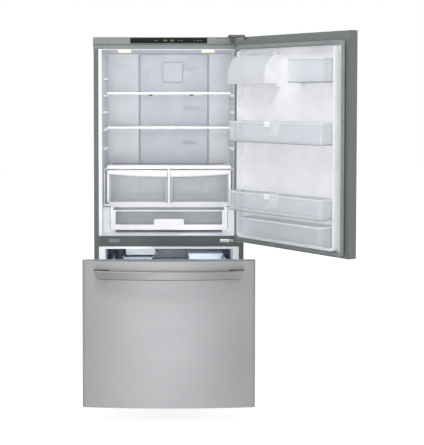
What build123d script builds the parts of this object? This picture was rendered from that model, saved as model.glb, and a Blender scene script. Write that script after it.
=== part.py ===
from build123d import *

import math
import os

# Bottom freezer refrigerator, 30 inch class, in millimetres.
# The origin is on the floor, midway between the case sides, in the plane of the case's front flange.
# +X is to the right, +Y goes back into the cabinet and +Z is up.
# It is built as it stands open: fridge door swung back, freezer drawer drawn out.

# ---- driving dimensions ----
CASE_W = 740.0
CASE_TOP = 1711.0
CASE_BACK = 680.0
CASE_FOOT = 34.0
SHEET = 1.5
FLANGE_W = 24.0

LINER_T = 2.5
FRIDGE_HALF = 331.0
FRIDGE_FLOOR = 732.0
FRIDGE_CEILING = 1650.0
FRIDGE_BACK = 590.0
FREEZER_HALF = 318.0
FREEZER_FLOOR = 98.0
FREEZER_CEILING = 667.0
FREEZER_BACK = 600.0
HUMP_FRONT = 430.0
HUMP_TOP = 330.0
MACHINE_FRONT = 470.0
MACHINE_TOP = 296.0

DOOR_HALF = 378.0
DOOR_INNER = -14.0
DOOR_EDGE = -70.0
DOOR_BULGE = 22.0
DOOR_CORNER = 16.0
CAP_T = 12.0
CAP_SET = 0.8
SKIN_T = 1.2
DOOR_BOTTOM = 712.0
DOOR_TOP = 1708.0
DRAWER_BOTTOM = 62.0
DRAWER_TOP = 706.0

HINGE_X = 358.0
HINGE_Y = -46.0
PIN_R = 5.0
DOOR_OPEN = 127.5
DRAWER_OUT = 575.0
LINK_OUT = 285.0
RAIL_LOW = 282.6
RAIL_HIGH = 311.4
LINK_WALL = 4.0
RAIL_LIP_Z = 290.0

HOUSING_STEP = 1678.0
SHELF_W = 624.0
SHELF_FRONT = 128.0
SHELF_DEPTH = 400.0
GLASS_T = 4.0
UPPER_SHELF_Z = 1430.0
LOWER_SHELF_Z = 1257.0
COVER_Z = 1054.0

CRISPER_TOP = 1048.0
CRISPER_BOTTOM = 876.0
CRISPER_OUT = 314.0
CRISPER_IN = 7.0
PANTRY_TOP = 866.0
PANTRY_BOTTOM = 746.0
PANTRY_HALF = 296.0
ROLLER_Y = 610.0
ROLLER_Z = 26.0
ROLLER_R = 25.8
AXLE_R = 4.0
CONDENSER_FAN = (28.0, 590.0, 156.0)
EVAPORATOR_FAN = (0.0, 566.0, 560.0)
ARM_Z = 624.0
BIN_WALL = 2.5
BIN_REACH = 91.0
BIN_HINGE_END = 312.0
BIN_FREE_END = -308.0
LOWER_BIN_Z = 880.0
MIDDLE_BIN_Z = 1207.0
TOP_BIN_Z = 1482.0
DAIRY_X0 = 58.0
DAIRY_TOP = 1616.0
LID_AXIS = (16.0, 1622.0)
LID_PIN_R = 3.0
DIVIDER_X = 29.0
HANDLE_X = -285.0


# ---- helpers ----
def block(x0, x1, y0, y1, z0, z1):
    """Solid box between two corners."""
    centre = Pos((x0 + x1) / 2, (y0 + y1) / 2, (z0 + z1) / 2)
    return centre * Box(abs(x1 - x0), abs(y1 - y0), abs(z1 - z0))


def rounded(shape, radius, axis):
    """Round the edges of a shape that run along one axis."""
    return fillet(shape.edges().filter_by(axis), radius)


def prism_xz(points, y0, y1):
    """Solid from an outline in X and Z, between two depths."""
    face = make_face(Polyline([(x, y0, z) for x, z in points], close=True))
    return extrude(face, amount=y1 - y0, dir=(0, 1, 0))


def prism_xy(points, z0, z1):
    """Solid from a plan outline in X and Y, between two heights."""
    face = make_face(Polyline([(x, y, z0) for x, y in points], close=True))
    return extrude(face, amount=z1 - z0, dir=(0, 0, 1))


def prism_yz(points, x0, x1):
    """Solid from a side outline in Y and Z, between two places across the width."""
    face = make_face(Polyline([(x0, y, z) for y, z in points], close=True))
    return extrude(face, amount=x1 - x0, dir=(1, 0, 0))


def rod(start, end, radius):
    """Round bar from one point to another."""
    line = Vector(*end) - Vector(*start)
    plane = Plane(origin=start, z_dir=line)
    return extrude(plane * Circle(radius), amount=line.length)


def tub(x0, x1, y0, y1, z0, z1, wall, lean, corner):
    """Open box whose walls lean outwards towards the rim, with rounded upright corners."""
    width = x1 - x0
    depth = y1 - y0
    centre = Pos((x0 + x1) / 2, (y0 + y1) / 2, z0)
    rim = Pos((x0 + x1) / 2, (y0 + y1) / 2, z1)
    outer = loft(
        [
            centre * RectangleRounded(width - 2 * lean, depth - 2 * lean, corner),
            rim * RectangleRounded(width, depth, corner),
        ],
        ruled=True,
    )
    inner = loft(
        [
            Pos(0, 0, wall) * centre * RectangleRounded(
                width - 2 * lean - 2 * wall, depth - 2 * lean - 2 * wall, corner - wall
            ),
            Pos(0, 0, 0.01) * rim * RectangleRounded(width - 2 * wall, depth - 2 * wall, corner - wall),
        ],
        ruled=True,
    )
    return outer - inner


def bowed_plan(half, inner_y, edge_y, bulge, corner, z):
    """Plan face of a door slab: flat inside, gently bowed outside, rounded front corners."""
    outline = [
        Line((-half, inner_y, z), (-half, edge_y, z)),
        ThreePointArc((-half, edge_y, z), (0, edge_y - bulge, z), (half, edge_y, z)),
        Line((half, edge_y, z), (half, inner_y, z)),
        Line((half, inner_y, z), (-half, inner_y, z)),
    ]
    face = make_face(outline)
    front = face.vertices().filter_by(lambda v: v.Y < inner_y - 20)
    return fillet(front, corner)


def slab_skin(bottom, top):
    """Folded steel front of a door: the bowed face with its two side returns."""
    back = DOOR_INNER - 4
    outer = bowed_plan(DOOR_HALF, back, DOOR_EDGE, DOOR_BULGE, DOOR_CORNER, bottom)
    inner = bowed_plan(
        DOOR_HALF - SKIN_T, back + 10, DOOR_EDGE + SKIN_T, DOOR_BULGE, DOOR_CORNER - SKIN_T, bottom
    )
    return extrude(outer, amount=top - bottom) - extrude(inner, amount=top - bottom)


def slab_cap(z0, z1):
    """Moulded end cap that closes one end of a door inside the edge of its steel skin."""
    inset = SKIN_T + 0.2
    plan = bowed_plan(DOOR_HALF - inset, DOOR_INNER - 4, DOOR_EDGE + inset, DOOR_BULGE, DOOR_CORNER - inset, z0)
    return extrude(plan, amount=z1 - z0)


def slab_foam(bottom, top):
    """Insulation that fills a door between its skin and its liner."""
    plan = bowed_plan(
        DOOR_HALF - SKIN_T, DOOR_INNER - 4, DOOR_EDGE + SKIN_T, DOOR_BULGE, DOOR_CORNER - SKIN_T, bottom
    )
    return extrude(plan, amount=top - bottom)


def ring(x0, x1, z0, z1, width, y0, y1, corner):
    """Picture frame in the door plane."""
    centre = Plane(origin=((x0 + x1) / 2, y0, (z0 + z1) / 2), x_dir=(1, 0, 0), z_dir=(0, 1, 0))
    outer = centre * RectangleRounded(x1 - x0, z1 - z0, corner)
    inner = centre * RectangleRounded(x1 - x0 - 2 * width, z1 - z0 - 2 * width, max(corner - width, 2))
    return extrude(outer - inner, amount=y1 - y0)


def gasket(x0, x1, z0, z1):
    """Magnetic door seal: a soft tube on a narrow foot, all the way round."""
    foot = ring(x0 + 5, x1 - 5, z0 + 5, z1 - 5, 9, DOOR_INNER, DOOR_INNER + 4, 6)
    bellows = ring(x0, x1, z0, z1, 19, DOOR_INNER + 4, DOOR_INNER + 12, 10)
    front = bellows.faces().sort_by(Axis.Y)[-1]
    return foot + fillet(front.edges(), 2.5)


def door_face(x):
    """Depth of the bowed door face at a place across the width."""
    return DOOR_EDGE - DOOR_BULGE * (1 - (x / DOOR_HALF) ** 2)


def bow_handle(span, seat, seat_in, stand_off, bow, height):
    """Bar handle along X: a flat bar that arches away from the door, with a foot and a slanted cut at each end."""
    half = span / 2
    bar_t = 15.0
    end_y = seat - stand_off
    inner_y = end_y - bow * 0.2 + bar_t
    outline = [
        ThreePointArc((-half, end_y, 0), (0, end_y - bow, 0), (half, end_y, 0)),
        Line((half, end_y, 0), (half + 4, seat, 0)),
        Line((half + 4, seat, 0), (half - 22, seat_in, 0)),
        Line((half - 22, seat_in, 0), (half - 34, inner_y, 0)),
        ThreePointArc((half - 34, inner_y, 0), (0, end_y - bow + bar_t, 0), (34 - half, inner_y, 0)),
        Line((34 - half, inner_y, 0), (22 - half, seat_in, 0)),
        Line((22 - half, seat_in, 0), (-half - 4, seat, 0)),
        Line((-half - 4, seat, 0), (-half, end_y, 0)),
    ]
    bar = Pos(0, 0, -height / 2) * extrude(make_face(outline), amount=height)
    long_edges = bar.edges().filter_by(lambda e: e.length > span * 0.9)
    front = long_edges.filter_by(lambda e: e.center().Y < end_y + 1)
    bar = fillet(front, 5.0)
    top, low, slant = height / 2 + 1, -height / 2 - 1, height / 2
    ends = [(-half - 4, top), (half + 4, top), (half + 4 - slant, low), (slant - half - 4, low)]
    return bar & prism_xz(ends, end_y - 2 * bow, seat + 2 * bow)


# ---- placing ----
def on_door(shape):
    """Turn a piece of the closed fridge door to where the open door stands."""
    turn = Pos(HINGE_X, HINGE_Y, 0) * Rot(0, 0, DOOR_OPEN) * Pos(-HINGE_X, -HINGE_Y, 0)
    return turn * shape


def on_drawer(shape):
    """Bring a piece of the closed freezer drawer forward to where the open drawer stands."""
    return Pos(0, -DRAWER_OUT, 0) * shape


# ---- cabinet ----
def outer_case():
    """Painted steel wrapper: two sides and the top, with flanges turned in at the front."""
    half = CASE_W / 2
    shell = block(-half, half, 0, CASE_BACK, CASE_FOOT, CASE_TOP)
    shell -= block(-half + SHEET, half - SHEET, SHEET, CASE_BACK, CASE_FOOT, CASE_TOP - SHEET)
    window = block(-half + FLANGE_W, half - FLANGE_W, 0, SHEET, CASE_FOOT, CASE_TOP - FLANGE_W)
    return shell - window


def back_panel():
    """Flat rear sheet above the machine compartment, with two pressed stiffening ribs."""
    half = CASE_W / 2 - 6
    sheet = block(-half, half, CASE_BACK, CASE_BACK + SHEET, MACHINE_TOP + 4, CASE_TOP - 8)
    for x in (-180, 180):
        rib = block(x - 20, x + 20, CASE_BACK + SHEET, CASE_BACK + 6, MACHINE_TOP + 80, CASE_TOP - 90)
        sheet += rounded(rib, 18, Axis.Y)
    return sheet


def cabinet_insulation():
    """Foam body of the cabinet, open at the front for both compartments and stepped at the back."""
    half = CASE_W / 2 - SHEET
    foam = block(-half, half, SHEET, CASE_BACK, 74, CASE_TOP - SHEET)
    gap = LINER_T
    foam -= block(
        -FRIDGE_HALF - gap, FRIDGE_HALF + gap, 0, FRIDGE_BACK + gap, FRIDGE_FLOOR - gap, FRIDGE_CEILING + gap
    )
    foam -= freezer_room(gap)
    foam -= block(-half, half, MACHINE_FRONT, CASE_BACK, 74, MACHINE_TOP)
    return foam


def freezer_room(gap):
    """Space of the freezer, stepped over the machine compartment, grown by a gap."""
    points = [
        (SHEET - gap, FREEZER_FLOOR - gap),
        (HUMP_FRONT + gap, FREEZER_FLOOR - gap),
        (HUMP_FRONT + gap, HUMP_TOP - gap),
        (FREEZER_BACK + gap, HUMP_TOP - gap),
        (FREEZER_BACK + gap, FREEZER_CEILING + gap),
        (SHEET - gap, FREEZER_CEILING + gap),
    ]
    return prism_yz(points, -FREEZER_HALF - gap, FREEZER_HALF + gap)


def fridge_liner():
    """Vacuum formed white liner of the fridge, with a front lip and rows of shelf rests."""
    outer = block(
        -FRIDGE_HALF - LINER_T,
        FRIDGE_HALF + LINER_T,
        SHEET,
        FRIDGE_BACK + LINER_T,
        FRIDGE_FLOOR - LINER_T,
        FRIDGE_CEILING + LINER_T,
    )
    room = block(-FRIDGE_HALF, FRIDGE_HALF, 0, FRIDGE_BACK, FRIDGE_FLOOR, FRIDGE_CEILING)
    liner = outer - room
    lip_half = CASE_W / 2 - FLANGE_W
    lip = block(-lip_half, lip_half, 0, SHEET, FRIDGE_FLOOR, CASE_TOP - 58)
    liner += lip - block(-FRIDGE_HALF, FRIDGE_HALF, 0, SHEET, FRIDGE_FLOOR, FRIDGE_CEILING)
    levels = (COVER_Z, LOWER_SHELF_Z, UPPER_SHELF_Z, 1160, 1345, 1515)
    for level in levels:
        for side in (-1, 1):
            for depth in (SHELF_FRONT + 60, SHELF_FRONT + 190, SHELF_FRONT + 320):
                rest = block(
                    side * FRIDGE_HALF, side * (FRIDGE_HALF - 16), depth - 16, depth + 16, level - 12, level
                )
                liner += rounded(rest, 4, Axis.X)
    for side in (-1, 1):
        liner += pantry_ledge(side)
    return liner


def pantry_ledge(side):
    """Step formed in the liner's lower corner, with the ledge that the full width drawer slides on."""
    section = [
        (side * FRIDGE_HALF, FRIDGE_FLOOR),
        (side * 270, FRIDGE_FLOOR),
        (side * 270, PANTRY_BOTTOM + 3.6),
        (side * 299, PANTRY_BOTTOM + 3.6),
        (side * 299, PANTRY_TOP - 4),
        (side * FRIDGE_HALF, PANTRY_TOP - 4),
    ]
    return prism_xz(section, SHELF_FRONT + 16, SHELF_FRONT + 392)


def freezer_liner():
    """White liner of the freezer, with the step over the machine compartment."""
    liner = freezer_room(LINER_T) - freezer_room(0)
    liner -= block(-FREEZER_HALF, FREEZER_HALF, -5, SHEET + 1, FREEZER_FLOOR, FREEZER_CEILING)
    lip_half = CASE_W / 2 - FLANGE_W
    lip = block(-lip_half, lip_half, 0, SHEET, 74, FREEZER_CEILING + 12)
    liner -= block(-lip_half, lip_half, -5, 0, 0, 800)
    liner += lip - block(-FREEZER_HALF, FREEZER_HALF, 0, SHEET, FREEZER_FLOOR, FREEZER_CEILING)
    for side in (-1, 1):
        liner += block(side * (FREEZER_HALF + 1), side * 292, 40, 520, 558, 564)
    return liner


def middle_rail():
    """Steel rail across the front between the compartments, with a recess for its plug."""
    half = CASE_W / 2 - FLANGE_W
    rail = block(-half, half, -1.5, 0, FREEZER_CEILING + 12, FRIDGE_FLOOR)
    plug = rounded(block(-298, -244, -3, 0, 699, 717), 6, Axis.Y)
    dish = rounded(block(-293, -249, -3, -1.8, 703, 713), 4.5, Axis.Y)
    return rail + plug - dish


def control_housing():
    """Moulded housing along the top of the fridge opening, stepped and cut away for the display."""
    half = CASE_W / 2
    profile = [
        (0, 1653),
        (-1.5, 1655),
        (-1.5, HOUSING_STEP - 3),
        (-11, HOUSING_STEP),
        (-11, CASE_TOP - 3),
        (-8, CASE_TOP),
        (0, CASE_TOP),
    ]
    housing = prism_yz(profile, -half - 2, half - 6)
    seat = block(-190, 214, -11, -6, 1680, 1708)
    housing -= rounded(seat, 3, Axis.Y)
    button = rounded(block(231, 285, -11, 0, 1685, 1704), 4, Axis.Y)
    hinge_bay = block(HINGE_X - 60, half, -11, -SHEET, HOUSING_STEP - 2, CASE_TOP)
    return housing - button - hinge_bay


def display_strip():
    """Dark glossy window in the control housing."""
    return rounded(block(-189, 213, -11.6, -6, 1681, 1707), 2.6, Axis.Y)


def light_switch():
    """Button that the closing door pushes in to put the lamp out."""
    button = rounded(block(232, 284, -13.4, -5, 1686, 1703), 3.4, Axis.Y)
    front = button.faces().sort_by(Axis.Y)[0]
    return fillet(front.edges(), 1.2)


def duct_cover():
    """Panel down the back wall over the air duct, with slotted outlets and the filter's square cover."""
    y0 = FRIDGE_BACK - 14
    panel = prism_xy(
        [(-166, FRIDGE_BACK), (-154, y0), (208, y0), (220, FRIDGE_BACK)], FRIDGE_FLOOR + 150, FRIDGE_CEILING - 4
    )
    for level in (1160, 1345, 1562):
        for step in range(3):
            z = level + step * 8
            panel -= rounded(block(78, 149, y0 - 1, y0 + 8, z, z + 4.4), 2, Axis.Y)
    cover = rounded(block(-34, 76, y0 - 16, y0, 1496, 1606), 14, Axis.Y)
    cover = fillet(cover.faces().sort_by(Axis.Y)[0].edges(), 4)
    dish = rounded(block(-22, 64, y0 - 16, y0 - 14, 1508, 1594), 10, Axis.Y)
    return Compound([panel, cover - dish])


def lamp_lenses():
    """Two clear domed lenses under the ceiling, near the front."""
    lenses = []
    for x in (-222, 196):
        lens = rounded(block(x - 34, x + 34, 60, 130, FRIDGE_CEILING - 11, FRIDGE_CEILING), 16, Axis.Z)
        lenses.append(fillet(lens.faces().sort_by(Axis.Z)[0].edges(), 6))
    return Compound(lenses)


def shelf_frames():
    """Frames of the two glass shelves, each on its row of rests."""
    return Compound([shelf_frame(UPPER_SHELF_Z, 12), shelf_frame(LOWER_SHELF_Z, 12)])


def shelf_glass():
    """Tempered glass plates of the two shelves and of the crisper cover."""
    return Compound([glass_plate(z) for z in (UPPER_SHELF_Z, LOWER_SHELF_Z, COVER_Z)])


def shelf_frame(z, height):
    """White moulded shelf frame: deep front trim, side rails with hooks and a back bar."""
    half = SHELF_W / 2
    back = SHELF_FRONT + SHELF_DEPTH
    frame = block(-half, half, SHELF_FRONT, SHELF_FRONT + 20, z, z + height)
    frame = fillet(frame.edges().filter_by(Axis.X).sort_by(Axis.Y)[:2], 3)
    for side in (-1, 1):
        frame += block(side * half, side * (half - 16), SHELF_FRONT + 12, back, z, z + 8)
    frame += block(-half, half, back - 18, back, z, z + 8)
    frame -= shelf_pocket(z)
    return frame


def shelf_pocket(z):
    """Rebate of the frame that the glass lies in."""
    half = SHELF_W / 2 - 8
    back = SHELF_FRONT + SHELF_DEPTH - 8
    return block(-half, half, SHELF_FRONT + 9, back, z + 3, z + 3 + GLASS_T)


def glass_plate(z):
    """Tempered glass plate of a shelf, lying in its frame."""
    half = SHELF_W / 2 - 8.5
    back = SHELF_FRONT + SHELF_DEPTH - 8.5
    return block(-half, half, SHELF_FRONT + 9.5, back, z + 3, z + 3 + GLASS_T)


def crisper_frame():
    """Cover frame above the crispers, with the post and the side runners that carry them."""
    frame = shelf_frame(COVER_Z, 19)
    back = SHELF_FRONT + SHELF_DEPTH
    rest = CRISPER_BOTTOM - 0.2
    frame += block(-5, 5, SHELF_FRONT + 8, back, rest, COVER_Z)
    frame += block(-26, 26, SHELF_FRONT + 8, back, rest - 5, rest)
    for side in (-1, 1):
        frame += block(side * 329, side * 296, SHELF_FRONT + 8, back, rest - 5, rest)
        frame += block(side * 329, side * 323, SHELF_FRONT + 20, back, CRISPER_BOTTOM - 9, COVER_Z - 14)
    return frame + block(-329, 329, SHELF_FRONT + 2, SHELF_FRONT + 16, rest - 8, rest)


def crisper_span(side):
    """Left and right limit of one crisper."""
    return (CRISPER_IN, CRISPER_OUT) if side > 0 else (-CRISPER_OUT, -CRISPER_IN)


def crisper_tub(side):
    """Clear crisper tub with leaning walls."""
    x0, x1 = crisper_span(side)
    return tub(
        x0, x1, SHELF_FRONT + 8, SHELF_FRONT + 388, CRISPER_BOTTOM, CRISPER_TOP - 4, BIN_WALL + 0.5, 5, 16
    )


def crisper_handle(side):
    """White band across the crisper front, with a curved lower edge and a finger lip behind it."""
    x0, x1 = crisper_span(side)
    y0 = SHELF_FRONT - 4
    middle = (x0 + x1) / 2
    low = CRISPER_TOP - 34
    right_low = low + 14 if side > 0 else low
    left_low = low if side > 0 else low + 14
    outline = [
        Line((x0, y0, CRISPER_TOP), (x1, y0, CRISPER_TOP)),
        Line((x1, y0, CRISPER_TOP), (x1, y0, right_low)),
        ThreePointArc((x1, y0, right_low), (middle, y0, low + 4), (x0, y0, left_low)),
        Line((x0, y0, left_low), (x0, y0, CRISPER_TOP)),
    ]
    band = extrude(make_face(outline), amount=12, dir=(0, 1, 0))
    band += block(x0 + 10, x1 - 10, y0 + 12, y0 + 28, CRISPER_TOP - 4, CRISPER_TOP)
    left_bar, right_bar = (11, 26) if side > 0 else (26, 11)
    frame = block(x0, x1, y0 + 3, y0 + 11.5, CRISPER_BOTTOM + 1, low + 16)
    sight = block(x0 + left_bar, x1 - right_bar, y0, y0 + 12, CRISPER_BOTTOM + 15, low + 17)
    return band + frame - rounded(sight, 5, Axis.Y)


def pantry_tub():
    """Clear tub of the full width drawer."""
    return tub(
        -PANTRY_HALF + 4,
        PANTRY_HALF - 4,
        SHELF_FRONT + 12,
        SHELF_FRONT + 388,
        PANTRY_BOTTOM + 4,
        PANTRY_TOP - 12,
        BIN_WALL + 0.5,
        5,
        14,
    )


def pantry_front():
    """White front frame of the full width drawer, with a clear window space and a finger cup."""
    y0 = SHELF_FRONT - 2
    front = block(-PANTRY_HALF, PANTRY_HALF, y0, y0 + 14, PANTRY_BOTTOM, PANTRY_TOP)
    front = rounded(front, 8, Axis.Y)
    window = rounded(block(-270, 270, y0 - 1, y0 + 15, 772, 840), 5, Axis.Y)
    window += rounded(block(-280, 280, y0 - 1, y0 + 15, 845, 861), 3, Axis.Y)
    cup_outer = rounded(block(-76, 76, y0, y0 + 14, 764, 800), 8, Axis.Y)
    cup = rounded(block(-71, 71, y0 - 1, y0 + 11, 769, 800.5), 6, Axis.Y)
    return front - window + cup_outer - cup


# ---- hinges, feet ----
def hinge_plates():
    """The two hinge plates of the fridge door with their pins."""
    return Compound([top_hinge(), middle_hinge()])


def top_hinge():
    """Steel plate on the case top that reaches forward to carry the upper hinge pin."""
    plate = block(HINGE_X - 62, HINGE_X + 10, HINGE_Y - 12, 150, CASE_TOP, CASE_TOP + 4)
    plate = fillet(plate.edges().filter_by(Axis.Z).sort_by(Axis.Y)[:2], 11)
    pin = Pos(HINGE_X, HINGE_Y, CASE_TOP - 22) * extrude(Circle(PIN_R), amount=24)
    return plate + pin


def top_hinge_cover():
    """Low domed cover over the upper hinge plate, with a skirt that fills the bay of the housing."""
    x0, x1 = HINGE_X - 68, HINGE_X + 13
    height, wall, skirt_y = 9, 2.5, -7.0
    cover = block(x0, x1, HINGE_Y - 16, 156, CASE_TOP, CASE_TOP + height)
    cover = rounded(cover, 12, Axis.Z)
    cover = fillet(cover.faces().sort_by(Axis.Z)[-1].edges(), 4)
    cover -= block(x0 + wall, x1 - wall, HINGE_Y - 13.5, 153, CASE_TOP, CASE_TOP + height - wall)
    skirt = block(HINGE_X - 58, HINGE_X + 6, skirt_y, -SHEET, HOUSING_STEP - 2, CASE_TOP)
    skirt = fillet(skirt.edges().filter_by(Axis.Y).sort_by(Axis.Z)[:2], 5)
    return Compound([cover, skirt])


def middle_hinge():
    """Steel bracket on the middle rail that carries the foot of the fridge door on its pin."""
    z0 = DRAWER_TOP + 1.5
    arm = block(HINGE_X - 26, HINGE_X + 12, HINGE_Y - 12, -1.5, z0, z0 + 3)
    arm = fillet(arm.edges().filter_by(Axis.Z).sort_by(Axis.Y)[:2], 11)
    leaf = block(HINGE_X - 30, HINGE_X - 4, -4.5, -1.5, z0, z0 + 11)
    leaf = rounded(leaf, 3, Axis.Y)
    pin = Pos(HINGE_X, HINGE_Y, z0 + 2) * extrude(Circle(PIN_R), amount=24)
    return arm + leaf + pin


def toe_grille():
    """Louvred grille under the drawer."""
    grille = block(-350, 350, 8, 22, 18, 58)
    for z in (26, 36, 46):
        for x in range(-330, 320, 47):
            slot = block(x, x + 38, 0, 30, z, z + 5)
            grille -= slot
    for side in (-1, 1):
        grille += block(side * 312, side * 308, 22, 60, 18, 58)
    return grille


def base_frame():
    """Steel channels under the cabinet with the roller pins, and the two screw legs."""
    rails = []
    for side in (-1, 1):
        rail = block(side * 367, side * 315, 22, 668, 34, 74)
        rail -= block(side * 363, side * 319, 23, 669, 33, 70)
        rails.append(rail)
    frame = rails[0] + rails[1]
    frame += block(-319, 319, 30, 60, 66, 74)
    frame += block(-362, 362, MACHINE_FRONT + 2, CASE_BACK - 4, 72, 74)
    for side in (-1, 1):
        frame += rod((side * 318.5, ROLLER_Y, ROLLER_Z), (side * 363.5, ROLLER_Y, ROLLER_Z), AXLE_R)
        for x in (319, 359.4):
            frame += block(side * x, side * (x + 3.6), ROLLER_Y - 12, ROLLER_Y + 12, 18, 71)
    return Compound([frame] + levelling_legs())


def levelling_legs():
    """Two screw legs at the front, each with a round foot."""
    legs = []
    for side in (-1, 1):
        x = side * 341
        foot = Pos(x, 60, 0) * extrude(Circle(19), amount=8)
        foot = chamfer(foot.faces().sort_by(Axis.Z)[-1].edges(), 2)
        legs.append(foot + Pos(x, 60, 8) * extrude(Circle(7), amount=62))
    return legs


def rear_rollers():
    """Pair of transport rollers, each bored for its pin."""
    wheels = []
    for side in (-1, 1):
        plane = Plane(origin=(side * 341 - 15, ROLLER_Y, ROLLER_Z), z_dir=(1, 0, 0))
        wheel = extrude(plane * Circle(ROLLER_R), amount=30)
        wheel = fillet(wheel.edges().filter_by(GeomType.CIRCLE), 3)
        wheels.append(wheel - extrude(plane * Circle(AXLE_R + 0.06), amount=30))
    return Compound(wheels)


# ---- machine compartment ----
def compressor():
    """Welded steel pot of the compressor on its base plate, with the start relay at its side."""
    centre = Pos(-190, 575, 96)
    pot = centre * extrude(Ellipse(95, 72), amount=110)
    pot = fillet(pot.edges().filter_by(GeomType.ELLIPSE), 34)
    plate = block(-310, -70, 500, 650, 84, 90)
    feet = plate
    for x in (-290, -90):
        for y in (520, 630):
            feet += Pos(x, y, 74) * extrude(Circle(12), amount=12)
    relay = rounded(block(-120, -84, 545, 605, 120, 185), 5, Axis.Z)
    ports = rod((-190, 600, 190), (-190, 652, 222), 4)
    return pot + block(-230, -150, 545, 605, 88, 100) + feet + relay + ports


def condenser():
    """Bank of condenser tube: flat bends one above the other, in three layers."""
    left, right, radius = 60.0, 250.0, 3.0
    pitch = 26.0
    solids = []
    for layer in range(3):
        y = 560 + layer * 30
        path = []
        for row in range(5):
            z = 104 + row * pitch
            a, b = (left, right) if row % 2 == 0 else (right, left)
            path.append(Line((a, y, z), (b, y, z)))
            if row < 4:
                out = pitch / 2 if row % 2 == 0 else -pitch / 2
                path.append(ThreePointArc((b, y, z), (b + out, y, z + pitch / 2), (b, y, z + pitch)))
        start = Plane(origin=(left, y, 104), z_dir=(1, 0, 0))
        solids.append(sweep(start * Circle(radius), path=Wire(path)))
    bank = solids[0]
    for extra in solids[1:]:
        bank += extra
    for x in (85, 155, 225):
        bank += block(x - 1, x + 1, 548, 632, 74, 214)
    motor = fan_motor((1, 0, 0), CONDENSER_FAN, 44)
    post = block(CONDENSER_FAN[0] - 42, CONDENSER_FAN[0] - 34, 580, 600, 74, 145)
    bank += block(70, 250, 544, 548, 74, 90)
    return Compound([bank, motor + post])


def fan_blades(axis_dir, origin):
    """Small axial fan: a hub with pitched blades, bored for its shaft."""
    hub, radius, blades, thickness = 14.0, 46.0, 5, 14.0
    wheel = extrude(Circle(hub), amount=thickness)
    wheel = Pos(0, 0, -thickness / 2) * wheel
    for index in range(blades):
        blade = Pos(hub - 2, -12, -1) * Box(radius - hub + 2, 24, 2, align=(Align.MIN, Align.MIN, Align.MIN))
        tilted = Rot(28, 0, 0) * blade
        wheel += Rot(0, 0, index * 360 / blades) * tilted
    wheel -= Pos(0, 0, -thickness) * extrude(Circle(2.56), amount=2 * thickness)
    return Plane(origin=origin, z_dir=axis_dir) * wheel


def fan_motor(axis_dir, origin, reach):
    """Fan motor with its shaft and a two armed bracket."""
    body = Pos(0, 0, -reach) * extrude(Circle(21), amount=reach - 14)
    shaft = Pos(0, 0, -15) * extrude(Circle(2.5), amount=26)
    arms = Pos(0, 0, -reach + 4) * Box(150, 14, 5)
    return Plane(origin=origin, z_dir=axis_dir) * (body + shaft + arms)


def machine_cover():
    """Rear cover of the machine compartment: louvres, the water valve and the supply cord's inlet."""
    y0 = CASE_BACK
    cover = block(-369, 369, y0, y0 + 2, 52, MACHINE_TOP + 2)
    for x0 in (-320, 60):
        for row in range(7):
            slot = block(x0, x0 + 240, y0 - 1, y0 + 3, 92 + row * 24, 100 + row * 24)
            cover -= slot
    for x0 in (-320, 60):
        for row in range(7):
            z = 100 + row * 24
            hood = prism_yz([(y0 + 1, z + 3), (y0 + 8, z - 4), (y0 + 8, z - 6), (y0 + 1, z + 1)], x0, x0 + 240)
            cover += hood
    valve = rounded(block(320, 352, CASE_BACK - 40, CASE_BACK + 1, 150, 190), 4, Axis.Z)
    cover += valve + rod((336, CASE_BACK - 2, 170), (336, CASE_BACK + 22, 170), 9)
    inlet = rounded(block(-358, -324, CASE_BACK - 26, CASE_BACK + 8, 236, 276), 4, Axis.Y)
    cover += inlet
    return cover - rounded(block(-353, -329, CASE_BACK - 10, CASE_BACK + 9, 243, 269), 3, Axis.Y)


# ---- freezer compartment ----
def freezer_rear_panel():
    """Panel in front of the evaporator, with a row of upright outlet slots above and below."""
    y0 = FREEZER_BACK - 62
    panel = block(-FREEZER_HALF, FREEZER_HALF, y0, y0 + 3, HUMP_TOP, FREEZER_CEILING)
    for z in (350, 600):
        for x in range(-240, 241, 40):
            slot = block(x - 8, x + 8, y0 - 1, y0 + 4, z, z + 40)
            panel -= slot
    return panel


def evaporator():
    """Aluminium fin pack on its tube, and the motor of its fan, behind the freezer's rear panel."""
    fins = []
    for x in range(-240, 241, 24):
        fins.append(block(x, x + 1.2, 552, FREEZER_BACK, 345, 480))
    pack = fins[0]
    for fin in fins[1:]:
        pack += fin
    for z in (365, 410, 455):
        pack += rod((-255, 571, z), (256, 571, z), 4)
    for x in (-255, 256):
        pack += rod((x, 571, 361), (x, 571, 459), 4)
    motor = fan_motor((0, -1, 0), EVAPORATOR_FAN, 34)
    return Compound([pack, motor])


def ice_bin():
    """White bin that takes the ice, and a small covered bin beside it, both standing in the tray."""
    bin_body = tub(-236, -84, 180, 400, 551.2, 600, 2.5, 4, 10)
    covered = rounded(block(100, 276, 190, 400, 551.2, 604), 14, Axis.Z)
    covered -= rounded(block(103, 273, 193, 397, 554, 604), 11, Axis.Z)
    lid = rounded(block(97, 279, 187, 403, 604, 616), 16, Axis.Z)
    lid = fillet(lid.faces().sort_by(Axis.Z)[-1].edges(), 5)
    return Compound([bin_body + ring_xy(-240, -80, 176, 404, 8, 597, 600, 12), covered + lid])


def channel(side, x_back, x_open, y0, y1, z0, z1, wall):
    """Steel channel along Y that opens towards the middle of the freezer."""
    bar = block(side * x_back, side * x_open, y0, y1, z0, z1)
    return bar - block(side * (x_back - wall), side * (x_open - 1), y0 - 1, y1 + 1, z0 + wall, z1 - wall)


def fixed_runners():
    """Steel channels on the freezer walls that carry the drawer's runners."""
    return Compound([channel(side, FREEZER_HALF, 301, 30, 425, 276, 318, 2) for side in (-1, 1)])


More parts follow.
